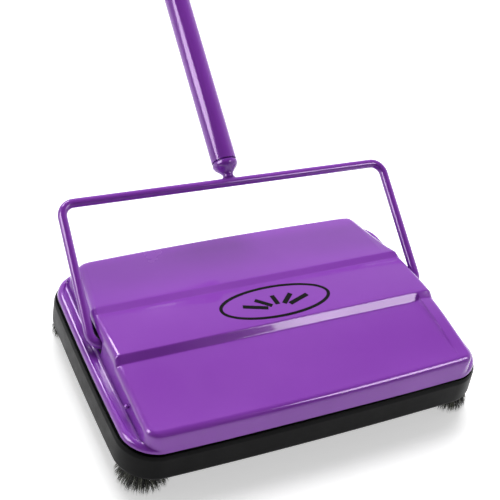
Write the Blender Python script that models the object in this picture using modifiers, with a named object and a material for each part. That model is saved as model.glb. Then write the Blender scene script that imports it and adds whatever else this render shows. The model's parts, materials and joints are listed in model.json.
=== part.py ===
"""Carpet sweeper: a low pressed-steel head on four wheels, with a brush rotor, four corner brushes,
two dust pans and a bail that carries a three-piece tube handle.

Metres, +Z up. The front of the head is -Y and the handle leans back towards +Y. The origin is on the
floor under the middle of the whole object's box.
"""

import math

import bmesh
import bpy
from mathutils import Matrix, Vector

# Head, in plan: half sizes of the bumper's outer face at its foot, and how far its edges bow out
HEAD_HALF_X = 0.143
HEAD_HALF_Y = 0.0945
CORNER_RADIUS = 0.027
FRONT_BOW = 0.0024
SIDE_BOW = 0.0015
HEAD_Y = -0.40305

# Bumper
BUMPER_FOOT = 0.016
BUMPER_TOP = 0.0399
BUMPER_THICKNESS = 0.0075
BUMPER_DRAFT = 0.0017

# Cover: rim, ledge that the bail's legs pass over, top block and its three panels
COVER_RIM = 0.0407
COVER_HALF_X = 0.1396
COVER_HALF_Y = 0.0923
COVER_RADIUS = 0.0235
COVER_SHEET = 0.0012
LEDGE_HEIGHT = 0.0434
RIDGE_HEIGHT = 0.0446
RIDGE_INSET = 0.0044
RIDGE_BOW = 0.0014
RIDGE_FALL = 0.0009
LIP_ROUNDING = 0.0036
BLOCK_HALF_X = 0.1296
BLOCK_HALF_Y = 0.0919
BLOCK_RADIUS = 0.013
SIDE_SLOPE = 10.0
END_SLOPE = 5.4
RADIUS_LOSS = 0.45
REAR_TAPER = 12.5
REAR_TAPER_Y = 0.030
EDGE_ROUNDING = 0.0042
FOOT_ROUNDING = 0.0022
FRONT_PANEL_LOW = 0.0568
FRONT_PANEL_HIGH = 0.0605
MID_BAND_HEIGHT = 0.0654
MID_BAND_REAR = 0.0620
REAR_RIDGE = 0.0634
REAR_PANEL_LOW = 0.0564
FRONT_STEP_Y = (-0.0266, -0.0216)
REAR_STEP_Y = (0.0240, 0.0300)
BORDER_X = (0.1152, 0.1166)
BORDER_RISE = 0.0022
BORDER_FALL = 0.10

# Slots that the bail's feet pass through: length and height, and their middle from the foot
SLOT_SIZE = (0.0450, 0.0118)
SLOT_OFFSET = (0.0160, 0.0016)

# Running gear
ROTOR_Z = 0.029
ROTOR_TIP_RADIUS = 0.0280
ROTOR_CORE_RADIUS = 0.0090
ROTOR_HALF_LENGTH = 0.0980
AXLE_RADIUS = 0.0025
RING_RADIUS = 0.0125
TYRE_RADIUS = 0.0190
TYRE_SIDES = 24
HUB_RADIUS = 0.0155
WHEEL_X = 0.1050
WHEEL_WIDTH = 0.0090
STUB_RADIUS = 0.0030
RUNNING_GAP = 0.0001
TOUCH_GAP = 0.0003

# Base and end plates
BASE_BOTTOM = 0.0340
BASE_SHEET = 0.0015
OPENING_HALF_X = 0.1150
OPENING_HALF_Y = 0.0805
END_PLATE_X = 0.1130
END_PLATE_SHEET = 0.0015

# Corner brushes
CORNER_X = 0.1240
CORNER_Y = 0.0750
CORNER_TILT = math.radians(10)
CROWN_HEIGHT = 0.0130
CROWN_TOP_RADIUS = 0.0085
CROWN_RADIUS = 0.0210
CORNER_HUB_HEIGHT = 0.0090
CORNER_HUB_RADIUS = 0.0072
PIN_RADIUS = 0.0020

# Dust pans
PAN_HALF_LENGTH = 0.0960
PAN_SHEET = 0.0010
PAN_HINGE_Y = 0.0760
PAN_HINGE_Z = 0.0310
PAN_ROD_RADIUS = 0.0020
PAN_BARREL_RADIUS = 0.0034

# Bail and handle; the bail stands a little askew, one foot further forward than the other
BAIL_PIVOT_Y = 0.0033
BAIL_PIVOT_Z = 0.0495
BAIL_SKEW = math.radians(-1.34)
BAIL_LEAN = math.radians(57.2)
BAIL_LENGTH = 0.1074
BAIL_HALF_WIDTH = 0.1350
BAIL_BEND = 0.0100
ROD_RADIUS = 0.0035
FOOT_END_X = 0.1105
TUBE_RADIUS = 0.0100
TUBE_BORE = 0.0092
FERRULE_LENGTH = 0.0175
TUBE_LENGTH = 0.3000
HANDLE_LENGTH = 1.0680
COUPLER_LENGTH = 0.0500
GRIP_LENGTH = 0.1200
GRIP_RADIUS = 0.0125

# Paint, rubber, steel, plastic and bristle
PURPLE = ((0.25, 0.07, 0.42, 1), 0.0, 0.22)
BLACK_RUBBER = ((0.014, 0.014, 0.015, 1), 0.0, 0.6)
STEEL = ((0.6, 0.6, 0.62, 1), 1.0, 0.35)
BLACK_PLASTIC = ((0.02, 0.02, 0.022, 1), 0.0, 0.45)
WHITE_PLASTIC = ((0.7, 0.7, 0.66, 1), 0.0, 0.5)
BRISTLE = ((0.03, 0.032, 0.026, 1), 0.0, 0.8)
WOOD = ((0.45, 0.3, 0.16, 1), 0.0, 0.6)


def clear_scene():
    for obj in list(bpy.data.objects):
        bpy.data.objects.remove(obj)


def new_collection(name):
    collection = bpy.data.collections.new(name)
    bpy.context.scene.collection.children.link(collection)
    return collection


def material_for(name, look):
    colour, metallic, roughness = look
    material = bpy.data.materials.new(name)
    material.use_nodes = True
    shader = material.node_tree.nodes["Principled BSDF"]
    shader.inputs["Base Color"].default_value = colour
    shader.inputs["Metallic"].default_value = metallic
    shader.inputs["Roughness"].default_value = roughness
    return material


def add_object(name, data, collection, look=None, parent=None, matrix=None):
    obj = bpy.data.objects.new(name, data)
    collection.objects.link(obj)
    obj.parent = parent
    if matrix is not None:
        obj.matrix_local = matrix
    if look is not None:
        data.materials.append(material_for(name, look))
    return obj


def add_empty(name, parent, matrix):
    return add_object(name, None, PARTS, parent=parent, matrix=matrix)


def cutter(name, mesh, parent, matrix):
    obj = add_object(name, mesh, CUTTERS, parent=parent, matrix=matrix)
    obj.hide_render = True
    obj.display_type = "WIRE"
    return obj


def boolean(obj, other, operation="DIFFERENCE"):
    modifier = obj.modifiers.new(other.name, "BOOLEAN")
    modifier.object = other
    modifier.operation = operation
    modifier.solver = "EXACT"


def smooth(mesh, degrees=35):
    mesh.shade_smooth()
    mesh.set_sharp_from_angle(angle=math.radians(degrees))


def cylinder_mesh(name, radius, depth, sides=24):
    """A cylinder lying along X."""
    bm = bmesh.new()
    bmesh.ops.create_cone(
        bm, cap_ends=True, segments=sides, radius1=radius, radius2=radius, depth=depth
    )
    bmesh.ops.rotate(bm, verts=bm.verts, matrix=Matrix.Rotation(math.pi / 2, 3, "Y"))
    mesh = bpy.data.meshes.new(name)
    bm.to_mesh(mesh)
    bm.free()
    smooth(mesh)
    return mesh


def box_mesh(name, size):
    bm = bmesh.new()
    bmesh.ops.create_cube(bm, size=1.0)
    bmesh.ops.scale(bm, verts=bm.verts, vec=Vector(size))
    mesh = bpy.data.meshes.new(name)
    bm.to_mesh(mesh)
    bm.free()
    return mesh


def turned(name, profile, look, parent, matrix, sides=24, closed=False):
    """A solid of revolution about local Z. The profile runs down its outer side, top to bottom."""
    mesh = bpy.data.meshes.new(name)
    points = [(radius, 0.0, height) for radius, height in profile]
    edges = [(i, i + 1) for i in range(len(points) - 1)]
    if closed:
        edges.append((len(points) - 1, 0))
    mesh.from_pydata(points, edges, [])
    obj = add_object(name, mesh, PARTS, look, parent, matrix)
    screw = obj.modifiers.new("turn", "SCREW")
    screw.axis = "Z"
    screw.steps = sides
    screw.render_steps = sides
    screw.use_merge_vertices = True
    screw.merge_threshold = 0.00001
    screw.use_smooth_shade = True
    return obj


def ring(name, inner, outer, low, high, look, parent, matrix, sides=24, flange=None):
    """A tube about local Z; flange is (radius, thickness) of a collar at its top end."""
    profile = [(outer, high), (outer, low), (inner, low), (inner, high)]
    if flange is not None:
        wide, thick = flange
        profile = [(wide, high), (wide, high - thick), (outer, high - thick)] + profile[1:]
    return turned(name, profile, look, parent, matrix, sides, closed=True)


def poly_curve(name, points, radius, look, parent, matrix, resolution=2):
    """A round wire or rod through the points, with flat filled ends."""
    curve = bpy.data.curves.new(name, "CURVE")
    curve.dimensions = "3D"
    spline = curve.splines.new("POLY")
    spline.points.add(len(points) - 1)
    for point, place in zip(spline.points, points):
        point.co = (*place, 1.0)
    curve.bevel_depth = radius
    curve.bevel_resolution = resolution
    curve.use_fill_caps = True
    return add_object(name, curve, PARTS, look, parent, matrix)


def flat_sheet(name, outlines, thickness, look, parent, matrix):
    """A flat plate centred on its own plane; outlines after the first are holes."""
    curve = bpy.data.curves.new(name, "CURVE")
    curve.dimensions = "2D"
    curve.fill_mode = "BOTH"
    curve.extrude = thickness / 2
    for outline in outlines:
        spline = curve.splines.new("POLY")
        spline.points.add(len(outline) - 1)
        for point, place in zip(spline.points, outline):
            point.co = (place[0], place[1], 0.0, 1.0)
        spline.use_cyclic_u = True
    return add_object(name, curve, PARTS, look, parent, matrix)


def circle(centre, radius, sides=16):
    step = 2 * math.pi / sides
    return [
        (centre[0] + radius * math.cos(i * step), centre[1] + radius * math.sin(i * step))
        for i in range(sides)
    ]


def smoothstep(low, high, value):
    t = min(1.0, max(0.0, (value - low) / (high - low)))
    return t * t * (3 - 2 * t)


def bowed(x, y, half_x, half_y):
    """Moves a point of a rectangle outwards, as its edges bow."""
    out_x = SIDE_BOW * (1 - (y / half_y) ** 2) * x / half_x
    out_y = FRONT_BOW * (1 - (x / half_x) ** 2) * y / half_y
    return x + out_x, y + out_y


def plan_outline(inset, corner_steps=6, side_points=5):
    """The head's plan outline, anticlockwise, this far inside the bumper's outer face."""
    half_x, half_y = HEAD_HALF_X - inset, HEAD_HALF_Y - inset
    radius = CORNER_RADIUS - inset
    points = []
    for turn, (side_x, side_y) in enumerate(((1, 1), (-1, 1), (-1, -1), (1, -1))):
        centre = Vector((side_x * (half_x - radius), side_y * (half_y - radius)))
        for step in range(corner_steps + 1):
            angle = math.pi / 2 * (turn + step / corner_steps)
            points.append(centre + radius * Vector((math.cos(angle), math.sin(angle))))
        start = points[-1]
        end = Vector((-start.x, start.y)) if turn % 2 == 0 else Vector((start.x, -start.y))
        points += [start.lerp(end, (i + 1) / (side_points + 1)) for i in range(side_points)]
    return [bowed(p.x, p.y, half_x, half_y) for p in points]


def inside_distance(x, y, half_x, half_y, radius):
    """How far a point lies inside a rounded rectangle with bowed edges."""
    half_x, half_y = (
        half_x + SIDE_BOW * (1 - (y / half_y) ** 2),
        half_y + FRONT_BOW * (1 - (x / half_x) ** 2),
    )
    over_x = abs(x) - (half_x - radius)
    over_y = abs(y) - (half_y - radius)
    corner = math.hypot(max(over_x, 0.0), max(over_y, 0.0))
    return radius - corner - min(max(over_x, over_y), 0.0)


def ramp(low, high, value, ease=0.14):
    """A straight rise from 0 to 1 between low and high, with a short curve at each end."""
    t = (value - low) / (high - low)
    if t > 0.5:
        return 1 - ramp(low, high, low + high - value, ease)
    if t >= ease:
        return t
    return (t + ease) ** 2 / (4 * ease) if t > -ease else 0.0


def panel_height(x, y):
    """Height of the cover's top: front panel, raised mid band and rear panel."""
    beyond = max(0.0, x - BORDER_X[1])
    along_front = smoothstep(-BLOCK_HALF_Y, FRONT_STEP_Y[0], y)
    front = FRONT_PANEL_LOW + (FRONT_PANEL_HIGH - FRONT_PANEL_LOW) * along_front
    front += (BORDER_RISE * ramp(*BORDER_X, x) - BORDER_FALL * beyond) * along_front ** 0.7
    along_band = max(0.0, (y - FRONT_STEP_Y[1]) / (REAR_STEP_Y[0] - FRONT_STEP_Y[1]))
    band = MID_BAND_HEIGHT + (MID_BAND_REAR - MID_BAND_HEIGHT) * min(along_band, 1.0) ** 1.3
    along_rear = max(0.0, (y - REAR_STEP_Y[1]) / (BLOCK_HALF_Y - REAR_STEP_Y[1]))
    rear = REAR_RIDGE + (REAR_PANEL_LOW - REAR_RIDGE) * along_rear
    rear -= BORDER_FALL * beyond * smoothstep(REAR_STEP_Y[1], 0.045, y)
    height = front + (band - front) * ramp(*FRONT_STEP_Y, y)
    return height + (rear - height) * ramp(*REAR_STEP_Y, y)


def block_height(x, y):
    """Height of the block over a point: steep sides, narrower to the rear, and a rounded top edge."""
    low, high = -0.010, 0.032
    top = panel_height(x, y)
    taper = REAR_TAPER * max(0.0, y - REAR_TAPER_Y)
    for _ in range(17):
        rise = (low + high) / 2
        radius = max(0.002, BLOCK_RADIUS - RADIUS_LOSS * max(rise, 0.0))
        inside = inside_distance(abs(x) + taper * max(rise, 0.0), y, BLOCK_HALF_X - rise / SIDE_SLOPE,
                                 BLOCK_HALF_Y - rise / END_SLOPE, radius)
        below = top - LEDGE_HEIGHT - rise
        reach = math.hypot(max(0.0, EDGE_ROUNDING - inside), max(0.0, EDGE_ROUNDING - below))
        low, high = (rise, high) if reach < EDGE_ROUNDING else (low, rise)
    return LEDGE_HEIGHT + low


def cover_height(x, y):
    """Height of the cover's outer face over a point of the head's plan."""
    inside = max(0.0, inside_distance(x, y, COVER_HALF_X, COVER_HALF_Y, COVER_RADIUS))
    part = 1 - min(inside / LIP_ROUNDING, 1.0)
    lip = COVER_RIM + (RIDGE_HEIGHT - COVER_RIM) * math.sqrt(max(0.0, 1 - part * part))
    ridge = RIDGE_INSET - RIDGE_BOW * max(0.0, 1 - (y / 0.065) ** 2)
    ledge = lip + (LEDGE_HEIGHT - lip) * ramp(ridge, ridge + RIDGE_FALL, inside)
    beside = -inside_distance(x, y, BLOCK_HALF_X, BLOCK_HALF_Y, BLOCK_RADIUS)
    if 0 < beside < FOOT_ROUNDING:
        fillet = FOOT_ROUNDING - math.sqrt(beside * (2 * FOOT_ROUNDING - beside))
        ledge += fillet * ramp(0.002, 0.005, inside + beside)
    return max(ledge, block_height(x, y))


def rounded_plan(x, y, half_x, half_y, radius):
    """Carries a rectangle's point to the rounded, bowed rectangle of the same size."""
    in_x = (abs(x) - (half_x - radius)) / radius
    in_y = (abs(y) - (half_y - radius)) / radius
    if in_x > 0 and in_y > 0:
        to_x = half_x - radius + radius * in_x * math.sqrt(1 - in_y * in_y / 2)
        to_y = half_y - radius + radius * in_y * math.sqrt(1 - in_x * in_x / 2)
        x, y = math.copysign(to_x, x), math.copysign(to_y, y)
    return bowed(x, y, half_x, half_y)


def mirrored(values):
    return [-v for v in reversed(values)] + [v for v in values if v > 0]


def top_cover():
    half_x, half_y = COVER_HALF_X, COVER_HALF_Y
    lines_x = [0.040, 0.080, 0.1110, 0.1152, 0.1168, 0.1195, 0.1220, 0.1242, 0.1260, 0.1272]
    lines_x += [0.1282, 0.1290, 0.1300, 0.1325, 0.1342, 0.1352, 0.1362]
    lines_x = mirrored(lines_x + [half_x - 0.0020, half_x - 0.0007, half_x])
    edge_y = [half_y - inset for inset in (0.0, 0.0007, 0.0016, 0.0026, 0.0036, 0.0050, 0.0070,
                                           0.0095)]
    lines_y = [-y for y in edge_y] + [-0.070, -0.048, -0.0300, -0.0266, -0.0216, -0.0180]
    lines_y += [0.001, 0.012, 0.0240, 0.0300, 0.040, 0.055, 0.070] + edge_y[::-1]
    bm = bmesh.new()
    bmesh.ops.create_grid(
        bm, x_segments=len(lines_x) - 1, y_segments=len(lines_y) - 1, size=1.0
    )
    for vert in bm.verts:
        column = round((vert.co.x + 1) / 2 * (len(lines_x) - 1))
        row = round((vert.co.y + 1) / 2 * (len(lines_y) - 1))
        x, y = rounded_plan(
            lines_x[column], lines_y[row], half_x, half_y, COVER_RADIUS
        )
        vert.co = (x, y, cover_height(x, y))
    mesh = bpy.data.meshes.new("top_cover")
    bm.to_mesh(mesh)
    bm.free()
    smooth(mesh, 25)
    cover = add_object("top_cover", mesh, PARTS, PURPLE, HEAD)
    shell = cover.modifiers.new("sheet", "SOLIDIFY")
    shell.thickness = COVER_SHEET
    shell.offset = -1
    for side, name in ((-1, "left"), (1, "right")):
        slot = cutter(f"slot_cutter_{name}", box_mesh("slot", (0.012, *SLOT_SIZE)), HEAD,
                      Matrix.Translation(bail_foot(side) + Vector((0, *SLOT_OFFSET))))
        boolean(cover, slot)
        for end in (-1, 1):
            hole = cutter(f"rivet_cutter_{name}_{end}",
                          cylinder_mesh("rivet_hole", 0.0013, 0.008, 12), HEAD,
                          Matrix.Translation(rivet_place(side, end)))
            boolean(cover, hole)


def bail_foot(side):
    """Where a foot of the bail passes the cover's side wall."""
    reach = Matrix.Rotation(BAIL_SKEW, 3, "Z") @ Vector((side * 0.130, 0, 0))
    return reach + Vector((0, BAIL_PIVOT_Y, BAIL_PIVOT_Z))


def rivet_place(side, end):
    return Vector((side * (0.1300 - 0.0011 * (end + 1)), end * 0.0550, 0.0505))


def cover_rivets():
    for side, name in ((-1, "left"), (1, "right")):
        for end, where in ((-1, "front"), (1, "rear")):
            turn = Matrix.Rotation(side * math.pi / 2, 4, "Y")
            profile = [(0.0, 0.0030), (0.0012, 0.0027), (0.0020, 0.0018), (0.0021, 0.0013),
                       (0.0009, 0.0013), (0.0009, -0.0030), (0.0, -0.0030)]
            turned(f"cover_rivet_{where}_{name}", profile, STEEL, HEAD,
                   Matrix.Translation(rivet_place(side, end)) @ turn, sides=12)


def bumper():
    """A rubber band swept round the head: drafted face, rounded foot and top edge."""
    profile = bpy.data.curves.new("bumper_profile", "CURVE")
    profile.dimensions = "2D"
    spline = profile.splines.new("POLY")
    section = [
        (0.0022, 0.0), (0.0007, 0.0010), (0.0, 0.0030), (BUMPER_DRAFT * 0.8, 0.0215),
        (BUMPER_DRAFT + 0.0004, BUMPER_TOP - BUMPER_FOOT - 0.0006),
        (BUMPER_DRAFT + 0.0012, BUMPER_TOP - BUMPER_FOOT),
        (BUMPER_THICKNESS, BUMPER_TOP - BUMPER_FOOT), (BUMPER_THICKNESS, 0.0),
    ]
    spline.points.add(len(section) - 1)
    for point, (inset, height) in zip(spline.points, reversed(section)):
        point.co = (BUMPER_THICKNESS - inset, height, 0.0, 1.0)
    spline.use_cyclic_u = True
    guide = add_object("bumper_profile", profile, CUTTERS)
    guide.hide_render = True
    guide.display_type = "WIRE"
    path = bpy.data.curves.new("bumper", "CURVE")
    path.dimensions = "3D"
    path.twist_mode = "Z_UP"
    outline = plan_outline(BUMPER_THICKNESS)
    spline = path.splines.new("POLY")
    spline.points.add(len(outline) - 1)
    for point, place in zip(spline.points, outline):
        point.co = (place[0], place[1], 0.0, 1.0)
    spline.use_cyclic_u = True
    path.bevel_mode = "OBJECT"
    path.bevel_object = guide
    add_object("bumper", path, PARTS, BLACK_RUBBER, HEAD, Matrix.Translation((0, 0, BUMPER_FOOT)))


def corner_matrix(side_x, side_y):
    """The corner brush's axis: upright, then tilted so that its rim dips towards the corner."""
    outward = Vector((side_x, side_y, 0)).normalized()
    tilt_axis = Vector((0, 0, 1)).cross(outward)
    height = CROWN_HEIGHT * math.cos(CORNER_TILT) + CROWN_RADIUS * math.sin(CORNER_TILT)
    place = Matrix.Translation((side_x * CORNER_X, side_y * CORNER_Y, height))
    return place @ Matrix.Rotation(CORNER_TILT, 4, tilt_axis)


def base_frame():
    opening = [(OPENING_HALF_X * x, OPENING_HALF_Y * y)
               for x, y in ((1, 1), (-1, 1), (-1, -1), (1, -1))]
    outlines = [plan_outline(BUMPER_THICKNESS + TOUCH_GAP, 5, 3), opening]
    for side_x in (-1, 1):
        for side_y in (-1, 1):
            axis = corner_matrix(side_x, side_y)
            reach = (BASE_BOTTOM + BASE_SHEET / 2 - axis.translation.z) / math.cos(CORNER_TILT)
            centre = axis @ Vector((0, 0, reach))
            outlines.append(circle(centre, PIN_RADIUS + 2 * TOUCH_GAP, 12))
    flat_sheet("base_frame", outlines, BASE_SHEET, BLACK_PLASTIC, HEAD,
               Matrix.Translation((0, 0, BASE_BOTTOM + BASE_SHEET / 2)))


def wheel_y():
    """How far the wheels' axles stand from the rotor's, with their tyres on its drive rings."""
    reach = TYRE_RADIUS + RING_RADIUS + TOUCH_GAP
    return math.sqrt(reach**2 - (ROTOR_Z - wheel_z()) ** 2)


def wheel_z():
    return TYRE_RADIUS * math.cos(math.pi / TYRE_SIDES)


def end_plates():
    """Side plates that carry the rotor, the wheels' stubs, the bail's bushes and the pans' rods."""
    foot, top = 0.0115, 0.0575
    outline = [
        (-0.0800, 0.0270), (-0.0600, 0.0270), (-0.0420, foot), (0.0420, foot), (0.0600, 0.0270),
        (0.0800, 0.0270), (0.0800, 0.0370), (0.0420, 0.0440), (0.0160, top), (-0.0100, top),
        (-0.0420, 0.0440), (-0.0800, 0.0370),
    ]
    for side, name in ((-1, "left"), (1, "right")):
        centre_x = side * (END_PLATE_X + END_PLATE_SHEET / 2)
        bush = BAIL_PIVOT_Y + math.sin(BAIL_SKEW) * centre_x
        holes = [circle((0, ROTOR_Z), 0.0053), circle((bush, BAIL_PIVOT_Z), 0.0058)]
        for end in (-1, 1):
            holes.append(circle((end * wheel_y(), wheel_z()), STUB_RADIUS + TOUCH_GAP, 12))
            holes.append(circle((end * PAN_HINGE_Y, PAN_HINGE_Z), PAN_ROD_RADIUS + TOUCH_GAP, 12))
        # The sheet's own X and Y lie along the head's Y and Z
        stand = Matrix(((0, 0, 1, centre_x), (1, 0, 0, 0), (0, 1, 0, 0), (0, 0, 0, 1)))
        flat_sheet(f"end_plate_{name}", [outline, *holes], END_PLATE_SHEET, STEEL, HEAD, stand)


def along_x(side, place):
    """Local Z points outwards along X, to the left or to the right."""
    return Matrix.Translation(place) @ Matrix.Rotation(side * math.pi / 2, 4, "Y")


def rotor_bearings():
    for side, name in ((-1, "left"), (1, "right")):
        place = along_x(-side, (side * END_PLATE_X, 0, ROTOR_Z))
        ring(f"rotor_bearing_{name}", AXLE_RADIUS + RUNNING_GAP, 0.0050, -0.0018, 0.0018,
             WHITE_PLASTIC, HEAD, place, 16, flange=(0.0070, 0.0012))


def bail_bushes():
    for side, name in ((-1, "left"), (1, "right")):
        place = along_x(side, (side * END_PLATE_X, 0, 0))
        ring(f"bail_bush_{name}", ROD_RADIUS + RUNNING_GAP, 0.0052, -0.0015, 0.0033,
             WHITE_PLASTIC, BAIL_AXIS, place, 16, flange=(0.0072, 0.0013))


def coil(radius, turns, length, per_turn=8):
    """Points of a helix about local Z, from zero to its length."""
    count = int(turns * per_turn)
    step = 2 * math.pi / per_turn
    return [
        (radius * math.cos(i * step), radius * math.sin(i * step), length * i / count)
        for i in range(count + 1)
    ]


def friction_springs():
    """Compression coils round the bail's feet, between the bushes and the cover's side walls."""
    for side, name in ((-1, "left"), (1, "right")):
        place = along_x(side, (side * (END_PLATE_X + 0.0045), 0, 0))
        poly_curve(f"friction_spring_{name}", coil(0.0049, 4.5, 0.0085), 0.0007, STEEL,
                   BAIL_AXIS, place, resolution=0)


def wheel_stubs():
    for side, name in ((-1, "left"), (1, "right")):
        for end, where in ((-1, "front"), (1, "rear")):
            place = along_x(side, (side * WHEEL_X, end * wheel_y(), wheel_z()))
            inner, outer = -0.0065, 0.0120
            profile = [
                (0.0, outer), (0.0045, outer), (0.0045, outer - 0.0015), (STUB_RADIUS, outer - 0.0015),
                (STUB_RADIUS, -0.0052), (0.0045, -0.0052), (0.0045, inner), (0.0, inner),
            ]
            turned(f"wheel_stub_{where}_{name}", profile, STEEL, HEAD, place, 16)


def wheels():
    turn = Matrix.Rotation(math.pi / TYRE_SIDES, 4, "Z")
    half = WHEEL_WIDTH / 2
    for side, name in ((-1, "left"), (1, "right")):
        for end, where in ((-1, "front"), (1, "rear")):
            axle = along_x(side, (side * WHEEL_X, end * wheel_y(), wheel_z()))
            axis = add_empty(f"wheel_axis_{where}_{name}", HEAD, axle)
            hub = [
                (HUB_RADIUS, half), (HUB_RADIUS, -half), (STUB_RADIUS + RUNNING_GAP, -half),
                (STUB_RADIUS + RUNNING_GAP, half), (0.0055, half), (0.0060, 0.0005),
                (0.0115, 0.0005), (0.0125, half),
            ]
            turned(f"wheel_hub_{where}_{name}", hub, BLACK_PLASTIC, axis, turn, 16, closed=True)
            edge = 0.0010
            tyre = [
                (TYRE_RADIUS, half - edge), (TYRE_RADIUS, edge - half), (TYRE_RADIUS - edge, -half),
                (HUB_RADIUS + TOUCH_GAP, -half), (HUB_RADIUS + TOUCH_GAP, half),
                (TYRE_RADIUS - edge, half),
            ]
            turned(f"wheel_tyre_{where}_{name}", tyre, BLACK_RUBBER, axis, turn, TYRE_SIDES,
                   closed=True)


def rotor():
    turn = Matrix.Rotation(math.pi / 2, 4, "Y")
    axis = add_empty("rotor_axis", HEAD, Matrix.Translation((0, 0, ROTOR_Z)) @ turn)
    half = 0.1165
    turned("rotor_axle", [(0.0, half), (AXLE_RADIUS - 0.0005, half), (AXLE_RADIUS, half - 0.0005),
                          (AXLE_RADIUS, 0.0005 - half), (AXLE_RADIUS - 0.0005, -half), (0.0, -half)],
           STEEL, axis, Matrix(), 16)
    core_half = 0.1105
    ring("rotor_core", AXLE_RADIUS + TOUCH_GAP, ROTOR_CORE_RADIUS, -core_half, core_half, WOOD,
         axis, Matrix(), 20)
    for side, name in ((-1, "left"), (1, "right")):
        place = Matrix.Translation((0, 0, side * WHEEL_X))
        ring(f"drive_ring_{name}", ROTOR_CORE_RADIUS + TOUCH_GAP, RING_RADIUS,
             -WHEEL_WIDTH / 2, WHEEL_WIDTH / 2, BLACK_RUBBER, axis, place, 24)
    rotor_bristles(axis)


def rotor_bristles(axis):
    """Four helical rows of bristle standing on a sleeve round the core."""
    sleeve = ROTOR_CORE_RADIUS + TOUCH_GAP
    rows, steps, twist = 4, 10, math.radians(120)
    section = []
    for row in range(rows):
        middle = 2 * math.pi * row / rows
        gap = math.pi / rows
        section += [
            (sleeve + 0.0012, middle - gap), (sleeve + 0.0012, middle - 0.53),
            (sleeve + 0.0012, middle - 0.28),
            (ROTOR_TIP_RADIUS - 0.0006, middle - 0.16), (ROTOR_TIP_RADIUS, middle),
            (ROTOR_TIP_RADIUS - 0.0006, middle + 0.16), (sleeve + 0.0012, middle + 0.28),
            (sleeve + 0.0012, middle + 0.53),
        ]
    bm = bmesh.new()
    outer = [bm.verts.new((r * math.cos(a), r * math.sin(a), 0)) for r, a in section]
    inner = [bm.verts.new((sleeve * math.cos(a), sleeve * math.sin(a), 0)) for r, a in section]
    count = len(section)
    faces = [bm.faces.new((outer[i], outer[(i + 1) % count], inner[(i + 1) % count], inner[i]))
             for i in range(count)]
    made = bmesh.ops.extrude_face_region(bm, geom=faces)
    top = [item for item in made["geom"] if isinstance(item, bmesh.types.BMVert)]
    bmesh.ops.translate(bm, verts=top, vec=(0, 0, 2 * ROTOR_HALF_LENGTH))
    bmesh.ops.translate(bm, verts=bm.verts, vec=(0, 0, -ROTOR_HALF_LENGTH))
    for step in range(1, steps):
        height = ROTOR_HALF_LENGTH * (2 * step / steps - 1)
        bmesh.ops.bisect_plane(bm, geom=bm.verts[:] + bm.edges[:] + bm.faces[:],
                               plane_co=(0, 0, height), plane_no=(0, 0, 1))
    for vert in bm.verts:
        angle = twist * vert.co.z / (2 * ROTOR_HALF_LENGTH)
        vert.co.rotate(Matrix.Rotation(angle, 3, "Z"))
    bmesh.ops.recalc_face_normals(bm, faces=bm.faces)
    mesh = bpy.data.meshes.new("rotor_bristles")
    bm.to_mesh(mesh)
    bm.free()
    smooth(mesh, 30)
    add_object("rotor_bristles", mesh, PARTS, BRISTLE, axis, Matrix())


def corner_brushes():
    bore = PIN_RADIUS + RUNNING_GAP
    for side_x, name in ((-1, "left"), (1, "right")):
        for side_y, where in ((-1, "front"), (1, "rear")):
            axis = add_empty(f"corner_axis_{where}_{name}", HEAD, corner_matrix(side_x, side_y))
            hub = [
                (0.0045, CORNER_HUB_HEIGHT), (CORNER_HUB_RADIUS, CORNER_HUB_HEIGHT - 0.002),
                (CORNER_HUB_RADIUS, TOUCH_GAP), (bore, TOUCH_GAP), (bore, CORNER_HUB_HEIGHT),
            ]
            turned(f"corner_hub_{where}_{name}", hub, BLACK_PLASTIC, axis, Matrix(), 16,
                   closed=True)
            crown = [
                (CROWN_TOP_RADIUS, 0.0), (0.0155, -0.0065), (CROWN_RADIUS, -CROWN_HEIGHT),
                (0.0150, -CROWN_HEIGHT + 0.0010), (0.0052, -0.0045), (0.0052, 0.0),
            ]
            turned(f"corner_bristles_{where}_{name}", crown, BRISTLE, axis, Matrix(), 20,
                   closed=True)
            corner_pin(f"corner_pin_{where}_{name}", corner_matrix(side_x, side_y))


def corner_pin(name, matrix):
    """A headed pin from inside the bristle crown up through the base, clinched above it."""
    plate = (BASE_BOTTOM - matrix.translation.z) / math.cos(CORNER_TILT)
    over = plate + BASE_SHEET + 0.0012
    profile = [
        (0.0, over + 0.0012), (0.0034, over + 0.0010), (0.0034, over), (PIN_RADIUS, over),
        (PIN_RADIUS, -0.0002), (0.0042, -0.0002), (0.0042, -0.0018), (0.0, -0.0018),
    ]
    turned(name, profile, STEEL, HEAD, matrix, 16)


def pan_section(grow):
    """A trough's section from the hinge down, along and up to the lip by the rotor."""
    hinge_y, hinge_z = -PAN_HINGE_Y, PAN_HINGE_Z
    return [
        (hinge_y - 0.0005 - grow, hinge_z - 0.0035), (hinge_y + 0.0060 - grow * 0.9, 0.0085),
        (hinge_y + 0.0095, 0.0052 - grow), (-0.0405, 0.0042 - grow), (-0.0370 + grow * 0.9, 0.0060),
        (-0.0310 + grow, 0.0230),
    ]


def prism(name, outline, half_length):
    """A solid of one outline in Y and Z, standing along X."""
    bm = bmesh.new()
    face = bm.faces.new([bm.verts.new((-half_length, y, z)) for y, z in outline])
    made = bmesh.ops.extrude_face_region(bm, geom=[face])
    top = [item for item in made["geom"] if isinstance(item, bmesh.types.BMVert)]
    bmesh.ops.translate(bm, verts=top, vec=(2 * half_length, 0, 0))
    bmesh.ops.recalc_face_normals(bm, faces=bm.faces)
    mesh = bpy.data.meshes.new(name)
    bm.to_mesh(mesh)
    bm.free()
    return mesh


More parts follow.
